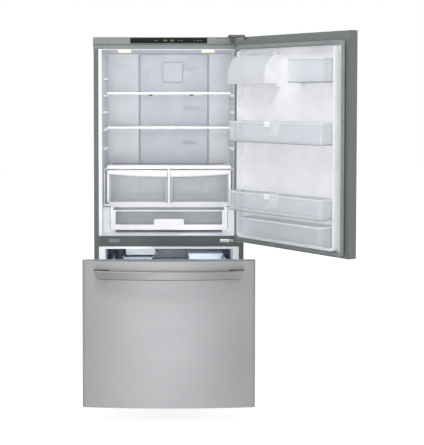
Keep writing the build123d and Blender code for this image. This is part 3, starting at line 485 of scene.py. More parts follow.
@dataclass(frozen=True)
class ZonedFinish(Finish):
    """A sheet of the fridge door whose rim is painted: beyond a box on the shut door it takes other colours.

    On a metal the rim's paint isn't metallic.
    """

    rim: str = "6D7472"
    rim_dark: str = "5F6664"
    centre: Pair = (0.002, 1.194)
    half: Pair = (0.349, 0.470)

    def pattern(self, tree: Tree, coords: Socket) -> dict[str, Socket]:
        """Split the sheet where |x - cx| > hx or |z - cz| > hz, with x and z on the shut door.

        Args:
            tree: Node tree of the material.
            coords: Object coordinates in metres.

        Returns:
            Sockets named colour, height and rough, and metal on a metal.
        """
        made = super().pattern(tree, coords)
        turn = {"Location": tuple(HINGE), "Rotation": (0.0, 0.0, float(OPEN_ANGLE))}
        shut = add_node(tree, "ShaderNodeMapping", {"vector_type": "TEXTURE", **turn, "Vector": coords})
        axes = add_node(tree, "ShaderNodeSeparateXYZ", {0: shut.outputs[0]}).outputs
        centre = (self.centre[0] - float(HINGE[0]), self.centre[1])
        outside = []
        for value, middle, reach in zip((axes[0], axes[2]), centre, self.half):
            size = compute(tree, "ABSOLUTE", compute(tree, "SUBTRACT", value, middle))
            outside.append(compute(tree, "GREATER_THAN", size, reach))
        zone = compute(tree, "MAXIMUM", *outside)
        tone = mix_colours(tree, made["height"], self.rim, self.rim_dark)
        metal = {"metal": compute(tree, "SUBTRACT", 1.0, zone)} if self.metallic else {}
        return {**made, **metal, "colour": mix_colours(tree, zone, made["colour"], tone)}


@dataclass(frozen=True)
class LippedFinish(Finish):
    """Freezer moulding: plain white at the lip by the door, and further in a painted pale blue that stands in
    for the cool light and shade inside.
    """

    lip: str = "F2F3F6"
    depth: float = 0.30
    blend: float = 0.26

    def pattern(self, tree: Tree, coords: Socket) -> dict[str, Socket]:
        """Change from the white lip to the painted blue light over a span of depth y behind the lip.

        Args:
            tree: Node tree of the material.
            coords: Object coordinates in metres.

        Returns:
            Sockets named colour, height and rough.
        """
        made = super().pattern(tree, coords)
        depth = add_node(tree, "ShaderNodeSeparateXYZ", {0: coords}).outputs[1]
        # share of the painted blue light, growing with depth behind the lip
        inside = remap(tree, depth, (self.depth, self.depth + self.blend))
        return {**made, "colour": mix_colours(tree, inside, self.lip, made["colour"])}


# Ferritic stainless steel sheet, brushed along its width and clear coated: long fine streaks that
# soften every reflection into a band. The streaks are drawn about 0.6 mm apart, coarser than real.
BRUSHED_ACROSS = Finish(
    "stainless_brushed_across", "A5A6A8", "9D9EA0", 0.54, (70.0, 0.6, 0.6), 700.0, 0.02, 0.05, 1.0,
    anisotropic=0.8, across=True,
)
# On the door's skin the folded side edges are lacquered grey; the zone's height takes in the whole door.
BRUSHED_DOOR = ZonedFinish(
    "stainless_brushed_door", "A5A6A8", "9D9EA0", 0.54, (70.0, 0.6, 0.6), 700.0, 0.02, 0.05, 1.0,
    anisotropic=0.8, across=True, turn=float(OPEN_ANGLE),
    rim="727776", rim_dark="696E6D", centre=(0.0, 1.194), half=(SLAB_HALF - 0.0012, 2.0),
)
# The same steel on the bars, satin polished along them, so it carries longer, brighter lights.
SATIN_BAR = Finish("stainless_satin_bar", "8F908F", "868786", 0.42, (90.0, 0.5, 0.5), 200.0, 0.01, 0.05, 1.0)
SATIN_BAR_DOOR = Finish(
    "stainless_satin_bar_door", "8F908F", "868786", 0.42, (0.5, 0.5, 90.0), 200.0, 0.01, 0.05, 1.0
)
# Cold rolled steel with a baked platinum grey powder coat: a faint orange peel and a dull sheen.
CASE_PAINT = Finish("powder_coated_steel", "5A6160", "535A59", 0.42, 1.8, 300.0, 0.05, 0.05, ior=1.52)
RAIL_PAINT = Finish("powder_coated_rail", "525857", "4B5150", 0.45, 1.8, 200.0, 0.05, 0.05, ior=1.52)
# ABS moulded in a grained tool and sprayed with a metallic grey lacquer.
GREY_ABS = Finish("grey_abs_lacquered", "7F8586", "777D7D", 0.4, 1.2, 150.0, 0.03, 0.05, ior=1.53)
CAP_ABS = Finish("grey_abs_end_cap", "747B79", "6B7270", 0.42, 1.2, 150.0, 0.03, 0.05, ior=1.53)
DARK_ABS = Finish("dark_abs_grained", "4A4F50", "424748", 0.48, 0.9, 120.0, 0.05, 0.05, ior=1.53)
HINGE_ABS = Finish("hinge_cover_abs", "5C6261", "545A59", 0.44, 0.9, 80.0, 0.05, 0.05, ior=1.53)
# High impact polystyrene sheet, vacuum formed: very white, soft sheen, slightly wavy.
LINER_WHITE = Finish("white_hips_liner", "F1F2F6", "E9EBF1", 0.33, 2.4, 90.0, 0.03, 0.05, ior=1.59)
# The freezer's liner is the same white sheet, painted pale blue past its lip as painted light for the cool
# light and shade inside the freezer.
LINER_PAINTED_BLUE_LIGHT = LippedFinish("freezer_liner_painted_blue_light", "AEC6E6", "A4BEE2", 0.33, 2.4, 90.0, 0.03, 0.05, ior=1.59)
# The door's inner sheet is white inside the seal, with a grey lacquered border outside it.
DOOR_SHEET = ZonedFinish("door_hips_liner", "F1F1F4", "E8E9EE", 0.33, 2.4, 90.0, 0.03, 0.05, ior=1.59)
# Injection moulded ABS in white: brighter and glossier than the formed liner.
WHITE_ABS = Finish("white_abs_gloss", "F4F4F5", "EDEDF0", 0.22, 3.0, 60.0, 0.02, 0.04, ior=1.54)
ICE_ABS = Finish("ice_maker_abs", "D3D8DE", "C9CFD6", 0.3, 2.0, 60.0, 0.02, 0.04, ior=1.54)
DUCT_ABS = Finish("duct_abs_satin", "E4E5EE", "DADCE8", 0.36, 1.4, 80.0, 0.03, 0.05, ior=1.54)
# General purpose polystyrene, moulded clear: glassy walls with bright rims.
CLEAR_TUB = Finish("clear_polystyrene", "EEF2F7", "E6EBF2", 0.08, 12.0, 60.0, 0.02, 0.02, ior=1.59, alpha=0.24)
# The same plastic on the dairy lid, moulded thinner and with a faint grey cast.
LID_CLEAR = Finish(
    "clear_polystyrene_lid", "D6DBE2", "CCD2DA", 0.07, 12.0, 60.0, 0.02, 0.02, ior=1.59, alpha=0.2
)
# The same plastic where it is thick, drawn nearly opaque white: a painted highlight for the polished lips,
# which scatter so much light that they look white.
RIM_PAINTED_HIGHLIGHT = Finish(
    "clear_lip_painted_highlight", "F2F4F8", "E8ECF2", 0.12, 4.0, 60.0, 0.02, 0.03, ior=1.59, alpha=0.72
)
# The same plastic along the bins' lower edges, drawn grey and nearly opaque: painted shade for the grey line
# that light caught in the walls leaves.
EDGE_PAINTED_SHADE = Finish(
    "clear_edge_painted_shade", "A3A1AA", "97959F", 0.2, 4.0, 60.0, 0.02, 0.03, ior=1.59, alpha=0.75
)
# The same plastic with a fine etched grain on the crispers' bars: half clear, greyish white.
FROST_CLEAR = Finish(
    "clear_polystyrene_etched", "DADDE2", "CED2D8", 0.3, 3.0, 60.0, 0.03, 0.04, ior=1.59, alpha=0.45
)
# Dark grey mounts under the handles' ends: partly a real part, partly painted shade for the shadow gap above
# the bar's ends.
MOUNT_PAINTED_SHADE = Finish("handle_mount_painted_shade", "34383A", "2D3133", 0.45, 0.9, 60.0, 0.04, 0.05, ior=1.53)
# Bright zinc plate on the rail's small fittings.
PLATED = Finish("bright_zinc_plate", "C4C8C8", "B7BBBB", 0.34, 1.2, 40.0, 0.01, 0.05, 0.8)
# Tempered soda lime glass with ground edges.
SHELF_GLASS = Finish("tempered_glass", "DDE9E5", "D2E2DD", 0.03, 20.0, 90.0, 0.0, 0.01, ior=1.52, alpha=0.16)
# Acrylic window painted black behind: deep gloss.
BLACK_WINDOW = Finish(
    "acrylic_black_window", "12161A", "0D1115", 0.08, 6.0, 60.0, 0.0, 0.03, ior=1.49, specular=0.22
)
# Polycarbonate diffuser with the lamp lit behind it.
LAMP_LENS = Finish("polycarbonate_diffuser", "FFF6E4", "FFF1D8", 0.3, 1.0, 20.0, 0.03, 0.04, glow=0.35)
# Soft plasticised PVC, extruded: dull, slightly waxy grey.
SEAL_PVC = Finish("seal_soft_pvc", "868C8A", "7B8180", 0.55, 1.5, 60.0, 0.04, 0.06, ior=1.52)
# Hot dip galvanised steel: leafy zinc crystals of about 9 mm, each a slightly different grey.
ZINC = CellFinish(
    "galvanised_spangle", "A9ADAF", "B8BCBE", 0.38, metallic=1.0, spread=0.12, relief_mm=0.01, cell_mm=9.0
)
ZINC_PLATE = CellFinish(
    "zinc_plated_steel", "A9AAA6", "BDBEB9", 0.3, metallic=1.0, spread=0.05, relief_mm=0.01, cell_mm=1.2
)
# Rigid polyurethane foam: cream, dull, open pores of about 1 mm.
FOAM = CellFinish("polyurethane_foam", "D9CBA0", "C8B886", 0.85, spread=0.05, relief_mm=0.4, cell_mm=1.1)
# Deep drawn steel pot with black stove enamel.
BLACK_ENAMEL = Finish("black_enamelled_steel", "1E1F21", "17181A", 0.3, 2.0, 60.0, 0.04, 0.06)
BLACK_TUBE = Finish("black_coated_tube", "26282A", "1E2022", 0.42, 1.0, 40.0, 0.03, 0.06)
# Rolled aluminium fin stock and drawn tube.
ALUMINIUM = Finish("aluminium_fin_stock", "D2D4D6", "C4C7CA", 0.32, (0.5, 0.5, 14.0), 50.0, 0.02, 0.06, 1.0)
# Glass filled nylon, moulded black, and the same uncoloured for the freezer's fan.
BLACK_NYLON = Finish("black_nylon", "2C2E30", "232527", 0.5, 0.8, 30.0, 0.04, 0.06)
PALE_NYLON = Finish("natural_nylon", "D8D8D0", "CDCDC4", 0.45, 0.8, 30.0, 0.04, 0.06)
# Polypropylene, moulded in light grey, for the rear cover.
REAR_PP = Finish("grey_polypropylene", "83898A", "7A8081", 0.5, 1.1, 120.0, 0.05, 0.05, ior=1.49)
# Frosted polypropylene of the freezer's bins, whitish and slightly clear.
FROST_PP = Finish(
    "frosted_polypropylene", "E6EEF6", "DCE6F1", 0.38, 2.0, 70.0, 0.04, 0.05, ior=1.49, subsurface=0.1
)
# Light emitting marks behind the window, and the printed grey ones, which give no light but carry a faint
# painted glow.
GREEN_GLOW = Finish("display_green_light", "75862F", "6A7B28", 0.4, 0.5, 5.0, 0.0, glow=0.2)
GREY_PRINT_PAINTED_GLOW = Finish("display_grey_print_painted_glow", "7B8083", "707578", 0.5, 0.5, 5.0, 0.0, glow=0.1)

FINISHED_NODES: tuple[tuple[Finish, tuple[str, ...]], ...] = (
    (CASE_PAINT, ("outer_case",)),
    (RAIL_PAINT, ("middle_rail",)),
    (ZINC, ("back_panel", "base_frame")),
    (ZINC_PLATE, ("hinge_plates", "freezer_runners", "ice_maker_arm", "drawer_rails", "runner_links")),
    (FOAM, ("cabinet_insulation", "door_foam", "drawer_foam")),
    (LINER_WHITE, ("fridge_liner", "drawer_liner")),
    (LINER_PAINTED_BLUE_LIGHT, ("freezer_liner", "freezer_rear_panel")),
    (DOOR_SHEET, ("door_liner",)),
    (GREY_ABS, ("control_housing", "light_switch")),
    (CAP_ABS, ("door_caps", "drawer_caps")),
    (DARK_ABS, ("toe_grille",)),
    (HINGE_ABS, ("top_hinge_cover",)),
    (ICE_ABS, ("ice_maker",)),
    (DUCT_ABS, ("duct_cover",)),
    (WHITE_ABS, ("shelf_frames", "crisper_frame", "crisper_left_handle", "crisper_right_handle")),
    (WHITE_ABS, ("pantry_front", "lower_divider", "middle_divider", "dairy_box")),
    (CLEAR_TUB, ("crisper_left_tub", "crisper_right_tub", "pantry_tub")),
    (CLEAR_TUB, ("base_pocket", "lower_bin", "middle_bin", "pocket_bin")),
    (LID_CLEAR, ("dairy_lid",)),
    (SHELF_GLASS, ("shelf_glass",)),
    (BLACK_WINDOW, ("display_strip",)),
    (LAMP_LENS, ("lamp_lenses",)),
    (FROST_PP, ("ice_bin", "upper_tray", "freezer_tub")),
    (SEAL_PVC, ("door_gasket", "drawer_gasket")),
    (BRUSHED_DOOR, ("door_skin",)),
    (BRUSHED_ACROSS, ("drawer_skin",)),
    (SATIN_BAR_DOOR, ("door_handle",)),
    (SATIN_BAR, ("drawer_handle",)),
    (BLACK_NYLON, ("rear_rollers", "condenser_fan")),
    (PALE_NYLON, ("evaporator_fan",)),
    (BLACK_ENAMEL, ("compressor",)),
    (BLACK_TUBE, ("condenser",)),
    (ALUMINIUM, ("evaporator",)),
    (REAR_PP, ("machine_cover",)),
)


def dress_nodes() -> None:
    """Give every CAD node its finish."""
    pairs = [(finish, name) for finish, names in FINISHED_NODES for name in names]
    for finish, name in pairs:
        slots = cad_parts[name].data.materials
        material = finish.build()
        if len(slots) == 0:
            slots.append(material)
        for index in range(len(slots)):
            slots[index] = material
    LOG.info("%d nodes dressed", len(pairs))


# ---- sub-assemblies ----
def make_blocks(
    name: str, finish: Finish, blocks: list[tuple[Pair, Pair, Pair]], edge: float, angle: float = 35.0
) -> bpy.types.Object:
    """Make a small piece of the cabinet from blocks with softened edges.

    Args:
        name: Name of the piece.
        finish: Its finish.
        blocks: Pairs of x, y and z of each block.
        edge: Radius of their edges.
        angle: Edges sharper than this many degrees stay crisp.

    Returns:
        The finished object.
    """
    shell = Shell()
    for x, y, z in blocks:
        shell.add_block(x, y, z, edge)
    return shell.piece(name, finish, angle=angle)


@dataclass
class Seal:
    """Magnetic seal of a door: a bellows with two folds and a flat magnet pocket."""

    name: str
    node: str
    body: str
    site: Site
    x: Pair
    z: Pair
    corner: float = 0.022
    width: float = 0.019
    base: float = DOOR_INNER
    height: float = 0.012

    def profile(self) -> np.ndarray:
        """Section of the seal: in from its outer edge, and out from the door.

        Returns:
            The closed section as (m, 2): a narrow foot, a waist on each side and a rounded magnet pocket.
        """
        half = np.array(
            [
                [0.30, 0.0], [0.30, 0.22], [0.12, 0.34], [0.05, 0.42], [0.16, 0.52],
                [0.06, 0.60], [0.0, 0.70], [0.01, 0.88], [0.06, 0.97], [0.16, 1.0],
            ]
        )
        other = half[::-1] * [-1.0, 1.0] + [1.0, 0.0]
        return np.concatenate([half, [[0.50, 0.985]], other]) * [self.width, self.height]

    def build(self) -> None:
        """Sweep the section round the door and put it on."""
        (x0, x1), (z0, z1) = self.x, self.z
        ring, out = rounded_rectangle(x1 - x0, z1 - z0, self.corner, 8)
        count = len(ring)
        path = np.insert(ring + [(x0 + x1) / 2, (z0 + z1) / 2], 1, self.base, axis=1)
        side = np.insert(-out, 1, 0.0, axis=1)
        shell = Shell()
        shell.add_sweep(path, side, np.tile([0.0, 1.0, 0.0], (count, 1)), self.profile(), closed=True)
        piece = shell.piece(self.name, SEAL_PVC, self.body, self.site, 50.0)
        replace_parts(piece, self.node)


@dataclass
class ControlPanel:
    """Display window with its marks, the blank plate beside it, the housing's end seam and the switch's lens.

    The marks are short bars and dots, lit or printed, and no words.
    """

    window: Pair = (-0.189, 0.188)
    blank: Pair = (0.1884, 0.2138)
    z: Pair = (1.681, 1.707)
    face: float = -0.0116
    back: float = -0.006
    seam: float = -0.298
    lens: Point = (0.256, -0.0128, 1.693)
    mark_y: Pair = (-0.01175, -0.01135)
    mark_z: float = 1.6945
    lit: tuple[Pair, ...] = ((-0.024, 0.0085), (-0.0155, 0.006), (0.010, 0.0085), (0.019, 0.006))
    lit_wide: float = 0.0055
    printed: tuple[Pair, ...] = (
        (-0.066, 0.010), (0.045, 0.006), (0.058, 0.010), (0.124, 0.006), (0.138, 0.010), (0.154, 0.006),
    )
    printed_half: float = 0.0012

    def build(self) -> None:
        """Make the window, the blank plate, the seam and the lens."""
        low, high = self.z
        glass = [(self.window, (self.face, self.back), self.z)]
        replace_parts(make_blocks("display_window", BLACK_WINDOW, glass, 0.0008, angle=12.0), "display_strip")
        plate = [(self.blank, (self.face + 0.0006, self.back), (low - 0.001, high + 0.001))]
        make_blocks("housing_blank", GREY_ABS, plate, 0.0003)
        gap = [((self.seam, self.seam + 0.0012), (self.face + 0.0004, self.face + 0.001), (low, high + 0.001))]
        make_blocks("housing_seam", DARK_ABS, gap, 0.0001)
        dome = MM * np.array([[0.0, -0.8], [2.56, -0.8], [2.56, 0.32], [1.92, 0.72], [0.0, 0.8]])
        dot = Shell()
        dot.add_lathe(self.lens, (0.0, -1.0, 0.0), dome, 20)
        dot.piece("switch_lens", DARK_ABS, "light_switch")

    def build_marks(self) -> None:
        """Make the green marks and the grey ones as thin plates on the window."""
        lit = [
            ((x, x + self.lit_wide), self.mark_y, (self.mark_z - tall / 2, self.mark_z + tall / 2))
            for x, tall in self.lit
        ]
        make_blocks("display_lit_marks", GREEN_GLOW, lit, 0.0001)
        flat = (self.mark_z - self.printed_half, self.mark_z + self.printed_half)
        printed = [((x, x + wide), self.mark_y, flat) for x, wide in self.printed]
        # the printed marks carry a faint painted glow
        make_blocks("display_printed_marks", GREY_PRINT_PAINTED_GLOW, printed, 0.0001)


@dataclass
class DoorHingeTrim:
    """Bush housing, bore and end seam at the hinge corner of the door's inner face."""

    face: float = DOOR_INNER
    sunk: float = 0.0003
    bush: Pair = (0.3215, 0.3595)
    z: Pair = (1.6885, 1.7065)
    bore: Pair = (0.299, 1.699)
    seam: float = 0.253

    def build(self) -> None:
        """Make the bush housing with its seam, and the dark bore."""
        plate = Shell()
        plate.add_block(self.bush, (self.face - self.sunk, self.face + 0.0016), self.z, 0.0006)
        plate.add_block(
            (self.seam, self.seam + 0.003), (self.face - self.sunk, self.face + self.sunk), self.z, 0.0002
        )
        plate.piece("door_bush_housing", GREY_ABS, "fridge_door", Site.DOOR)
        profile = MM * np.array([[0.0, -0.5], [6.5, -0.5], [6.5, 0.9], [5.2, 1.2], [4.8, 0.4], [0.0, 0.3]])
        hole = Shell()
        hole.add_lathe((self.bore[0], self.face, self.bore[1]), (0.0, 1.0, 0.0), profile)
        hole.piece("door_hinge_bore", BLACK_NYLON, "fridge_door", Site.DOOR)


@dataclass
class ShelfClips:
    """Dark clips that hold the glass to the front trim of the upper shelf."""

    y: Pair = (0.129, 0.144)
    z: Pair = (1.4235, 1.4305)
    wide: float = 0.018
    places: tuple[float, ...] = (-0.101, 0.105)

    def build(self) -> None:
        """Make the two clips under the trim."""
        make_blocks("shelf_clips", DARK_ABS, [((x, x + self.wide), self.y, self.z) for x in self.places], 0.001)


@dataclass
class BinRim:
    """Polished lip or lower edge round a clear door bin: the lip carries a white painted highlight, the lower
    edge a grey painted shade line.
    """

    name: str
    body: str
    hinge_end: float
    top: float
    cut: Pair
    free_end: float = -0.308
    reach: float = 0.091
    corner: float = 0.026
    wide: float = 0.0046
    tall: float = 0.0085
    finish: Finish = RIM_PAINTED_HIGHLIGHT

    def outline(self) -> np.ndarray:
        """Plan of the lip's outer edge on the closed door.

        Returns:
            Points (n, 2): the front from the round free corner to the cut hinge corner, then the back.
        """
        turn = np.linspace(np.pi, np.pi / 2, 9)
        across = self.free_end + self.corner * (1 + np.cos(turn))
        bend = np.stack([across, self.reach - self.corner * (1 - np.sin(turn))], axis=1)
        back = DOOR_INNER + 0.0004
        rest = [
            [self.hinge_end - self.cut[0], self.reach],
            [self.hinge_end, self.reach - self.cut[1]],
            [self.hinge_end, back],
            [self.free_end, back],
        ]
        return np.concatenate([bend, rest])

    def build(self) -> None:
        """Sweep the lip's rounded section round the outline.

        The side direction at a corner is the mitre of its two edges: (n1 + n2) / (1 + n1 . n2).
        """
        plan = self.outline()
        count = len(plan)
        edge = np.roll(plan, -1, axis=0) - plan
        edge /= np.linalg.norm(edge, axis=1, keepdims=True)
        normal = np.stack([edge[:, 1], -edge[:, 0]], axis=1)
        before = np.roll(normal, 1, axis=0)
        mitre = (normal + before) / (1 + (normal * before).sum(axis=1, keepdims=True))
        side = np.column_stack([mitre, np.zeros(count)])
        path = np.column_stack([plan, np.full(count, self.top)])
        section, _ = rounded_rectangle(self.wide, self.tall, min(0.0014, self.tall * 0.3), 4)
        section = section + [self.wide / 2 - 0.0003, 0.0004 - self.tall / 2]
        shell = Shell()
        shell.add_sweep(path, side, np.tile([0.0, 0.0, 1.0], (count, 1)), section, closed=True)
        shell.piece(self.name, self.finish, self.body, Site.DOOR, 40.0)


@dataclass
class LidEdge:
    """Polished edges of the dairy lid: its two arched ends and its lower edge, drawn white as a painted
    highlight.
    """

    ends: Pair = (0.0572, 0.3123)
    front: float = 0.0874
    low: float = 1.4862
    rim: float = 1.528
    middle: Pair = (0.0654, 1.5894)
    top: Pair = (0.014, 1.6194)
    stop: float = 0.030
    wide: float = 0.0026
    thick: float = 0.0022
    proud: float = 0.0003

    def arch(self) -> tuple[np.ndarray, np.ndarray]:
        """Follow the lid's side view: straight up its front, then round the circle through three points.

        The circle's centre c solves 2 (p2 - p1) . c = |p2|^2 - |p1|^2 and the same for p3.

        Returns:
            Places (n, 2) as depth and height, and the outward direction at each.
        """
        first, second, third = np.array([(self.front, self.rim), self.middle, self.top])
        rows = 2 * np.stack([second - first, third - first])
        known = np.array([second @ second - first @ first, third @ third - first @ first])
        centre = np.linalg.solve(rows, known)
        radius = float(np.linalg.norm(first - centre))
        start = float(np.arctan2(*(first - centre)[::-1]))
        end = float(np.arccos((self.stop - centre[0]) / radius))
        angle = np.linspace(start, end, 20)
        out = np.stack([np.cos(angle), np.sin(angle)], axis=1)
        straight = np.stack([np.full(3, self.front), np.linspace(self.low, self.rim - 0.004, 3)], axis=1)
        facing = np.tile([1.0, 0.0], (3, 1))
        return np.concatenate([straight, centre + radius * out]), np.concatenate([facing, out])

    def build(self) -> None:
        """Sweep a small section along both arches and put a bar along the lower edge."""
        line, facing = self.arch()
        count = len(line)
        section, _ = rounded_rectangle(self.wide, self.thick, 0.0005, 3)
        section = section + [0.0, self.proud - self.thick / 2]
        side = np.tile([1.0, 0.0, 0.0], (count, 1))
        up = np.column_stack([np.zeros(count), facing])
        shell = Shell()
        for x in (self.ends[0] + self.wide / 2, self.ends[1] - self.wide / 2):
            shell.add_sweep(np.column_stack([np.full(count, x), line]), side, up, section, closed=False)
        depth = (self.front - self.wide, self.front + self.proud)
        shell.add_block(self.ends, depth, (self.low, self.low + 0.003), 0.0006)
        shell.piece("dairy_lid_edges", RIM_PAINTED_HIGHLIGHT, "dairy_lid", Site.DOOR, 40.0)


class Hand(Enum):
    """Side of the cabinet, as a sign along X."""

    LEFT = -1
    RIGHT = 1


@dataclass
class CrisperFront:
    """Front of one crisper: a white band with a curved lower edge, a white outer bar and clear inner ones."""

    hand: Hand
    inner: float = 0.007
    outer: float = 0.314
    face: float = 0.124
    thick: float = 0.012
    top: float = 1.048
    low_inner: float = 1.014
    low_mid: float = 1.0175
    low_outer: float = 1.0285
    bottom: float = 0.877
    overlap: float = 0.004
    soft: float = 0.0022
    stations: int = 41

    def lower_edge(self, u: np.ndarray) -> np.ndarray:
        """Height of the band's lower edge: the parabola through its inner, middle and outer heights.

        Args:
            u: Share of the way from the inner end to the outer end.

        Returns:
            Heights in metres.
        """
        a = 2 * self.low_inner - 4 * self.low_mid + 2 * self.low_outer
        b = -3 * self.low_inner + 4 * self.low_mid - self.low_outer
        return self.low_inner + b * u + a * u * u

    def band(self) -> np.ndarray:
        """Carry a rounded section along the width: its height follows the lower edge, its ends are softened.

        Returns:
            Grid of (stations, section, 3): x along the band, y and z round the section.
        """
        soft, length = self.soft, self.outer - self.inner
        inset, depth = soft_edge(soft)
        between = np.linspace(soft, length - soft, self.stations)[1:-1]
        along = np.concatenate([depth, between, length - depth[::-1]])
        cut = np.concatenate([inset, np.zeros(len(between)), inset[::-1]])[:, None]
        low = self.lower_edge(along / length)[:, None] + cut
        high = self.top - cut
        _, out = rounded_rectangle(1.0, 1.0, 0.1, 4)
        corner = np.repeat(CORNERS, 5, axis=0)
        y = self.face + self.thick / 2 + corner[:, 0] * (self.thick / 2 - cut - soft) + soft * out[:, 0]
        z = (high + low) / 2 + corner[:, 1] * ((high - low) / 2 - soft) + soft * out[:, 1]
        x = np.broadcast_to((self.inner + along)[:, None] * self.hand.value, z.shape)
        return np.stack([x, y, z], axis=2)

    def bar(self, shell: Shell, x: Pair, z: Pair) -> None:
        """Add one straight bar of the frame below the band.

        Args:
            shell: Mesh that takes it.
            x: Its ends across the width, from the middle of the cabinet outwards.
            z: Its lowest and highest points.
        """
        depth = (self.face + 0.003, self.face + 0.0115)
        shell.add_block((x[0] * self.hand.value, x[1] * self.hand.value), depth, z, 0.0016)

    def build(self) -> None:
        """Make the white front and its clear bars."""
        name = f"crisper_{self.hand.name.lower()}"
        side_top, inner_top = self.low_outer + self.overlap, self.low_inner + self.overlap
        white = Shell()
        white.add_grid(self.band())
        self.bar(white, (self.outer - 0.012, self.outer), (self.bottom, side_top))
        self.bar(white, (self.inner, self.outer), (self.bottom, self.bottom + 0.0085))
        ledge = (self.hand.value * (self.inner + 0.010), self.hand.value * (self.outer - 0.010))
        white.add_block(ledge, (self.face + 0.010, self.face + 0.028), (self.top - 0.004, self.top), 0.001)
        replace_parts(white.piece(f"{name}_front", WHITE_ABS, name, angle=40.0), f"{name}_handle")
        clear = Shell()
        self.bar(clear, (self.inner, self.inner + 0.014), (self.bottom + 0.006, inner_top))
        self.bar(clear, (self.outer - 0.022, self.outer - 0.011), (self.bottom + 0.006, side_top))
        self.bar(clear, (self.inner + 0.012, self.outer - 0.020), (self.bottom + 0.0075, self.bottom + 0.0135))
        clear.piece(f"{name}_clear_bars", FROST_CLEAR, name, angle=40.0)


@dataclass
class HandleMounts:
    """Dark mounts that fill the corner between the ends of the drawer's bar and its skin, their dark colour
    partly painted shade for the shadow gap there.
    """

    middle: float = 0.650
    outer: float = 0.326
    inner: float = 0.262
    height: float = 0.038
    deep: float = 0.0278
    end_gap: float = 0.024
    slant: float = 0.93

    def wedge(self, sign: int) -> np.ndarray:
        """Stack the wedge's plan from its lower to its upper face, leaning with the bar's slanted end.

        The plan runs along the bowed skin, edge - bulge * (1 - (u / half width) ^ 2), from the bar's end
        to the inner end; its front edge starts just inside the bar's front and tapers to the skin.

        Args:
            sign: End of the bar, -1 or 1.

        Returns:
            Grid of (levels, plan, 3).
        """
        u = np.linspace(self.outer, self.inner, 9)
        skin = SLAB_EDGE - SLAB_BULGE * (1 - (u / SLAB_HALF) ** 2) + 0.0006
        share = (u - self.inner) / (self.outer - self.inner)
        front = skin - 0.0008 - self.deep * share**0.7
        front[0] = skin[0] - self.end_gap
        plan = np.concatenate([np.stack([u, skin], axis=1), np.stack([u, front], axis=1)[::-1]])
        level = self.height / 2 * np.array([-0.92, -0.88, 1.0, 1.05])[:, None]
        shrink = np.array([0.97, 1.0, 1.0, 0.985])[:, None, None]
        ring = plan.mean(axis=0) + (plan - plan.mean(axis=0)) * shrink
        lean = self.height / 2 * (0.5 - level / self.height) * np.concatenate([share, share[::-1]])
        along = sign * (ring[..., 0] - self.slant * lean)
        return np.stack([along, ring[..., 1], np.broadcast_to(self.middle + level, along.shape)], axis=2)

    def build(self) -> None:
        """Make both mounts as one piece."""
        shell = Shell()
        for sign in (-1, 1):
            shell.add_grid(self.wedge(sign))
        shell.piece("drawer_handle_mounts", MOUNT_PAINTED_SHADE, "freezer_drawer", Site.DRAWER, 30.0)


@dataclass
class Screws:
    """Screw heads: a flange, a hexagon and a shallow dome, turned from a profile."""

    flange: float = 0.0058
    head: float = 0.0040
    tall: float = 0.0030
    panel_y: float = 0.6815
    cover_y: float = 0.682
    columns: tuple[float, ...] = (-0.352, -0.03, 0.03, 0.352)

    def add(self, shell: Shell, place: Point, axis: Point) -> None:
        """Add one screw head.

        Args:
            shell: Mesh that takes it.
            place: Where its flange sits.
            axis: Way it points.
        """
        wide, tall = self.head, self.tall
        washer = [[0.0, -0.0004], [self.flange, -0.0004], [self.flange, 0.0006], [wide, 0.0009], [0.0, 0.001]]
        cap = [[0.0, 0.0], [wide, 0.0], [wide, tall * 0.8], [wide * 0.85, tall], [0.0, tall * 0.92]]
        shell.add_lathe(place, axis, np.array(washer))
        shell.add_lathe(place, axis, np.array(cap), flats=6)

    def build(self) -> None:
        """Put screws round the back panel and the rear cover."""
        back = Shell()
        for z in np.linspace(0.36, 1.66, 5):
            for x in (self.columns[0], self.columns[-1]):
                self.add(back, (x, self.panel_y, z), (0, 1, 0))
        for x in self.columns:
            for z in (0.066, 0.288):
                self.add(back, (x, self.cover_y, z), (0, 1, 0))
        back.piece("rear_screws", ZINC_PLATE, angle=30.0)


@dataclass
class RailFittings:
    """Small things on the middle rail: the plug in its recess, and a plated patch with its screws."""

    face: float = -0.0015
    middle: float = 0.708
    plug: Pair = (-0.2975, -0.2445)
    patch: Pair = (0.252, 0.300)
    patch_thick: float = 0.0012
    screws: tuple[float, ...] = (0.262, 0.277, 0.312, 0.329)

    def build(self) -> None:
        """Make the plug, the patch and the screws."""
        height = (self.middle - 0.0085, self.middle + 0.0085)
        depth = (self.face - 0.0024, self.face - 0.0002)
        make_blocks("rail_plug", GREY_ABS, [(self.plug, depth, height)], 0.001)
        plate = Shell()
        front = self.face - self.patch_thick
        plate.add_block(self.patch, (front, self.face), (self.middle - 0.008, self.middle + 0.008), 0.0005)
        for x in self.screws:
            seat = front if x < self.patch[1] else self.face
            Screws().add(plate, (x, seat, self.middle + 0.001), (0, -1, 0))
        plate.piece("rail_screw_patch", PLATED, angle=30.0)


@dataclass
class RearHem:
    """Folded rear edge of the painted case, which covers the foam round the back panel."""

    half: float = 0.3699
    inner: float = 0.3628
    y: Pair = (0.6794, 0.6814)
    z: Pair = (0.302, 1.7108)
    top_wide: float = 0.0088

    def build(self) -> None:
        """Make the two upright strips and the top one."""
        strips = [((sign * self.inner, sign * self.half), self.y, self.z) for sign in (-1, 1)]
        strips.append(((-self.half, self.half), self.y, (self.z[1] - self.top_wide, self.z[1])))
        make_blocks("case_rear_hem", CASE_PAINT, strips, 0.0005)


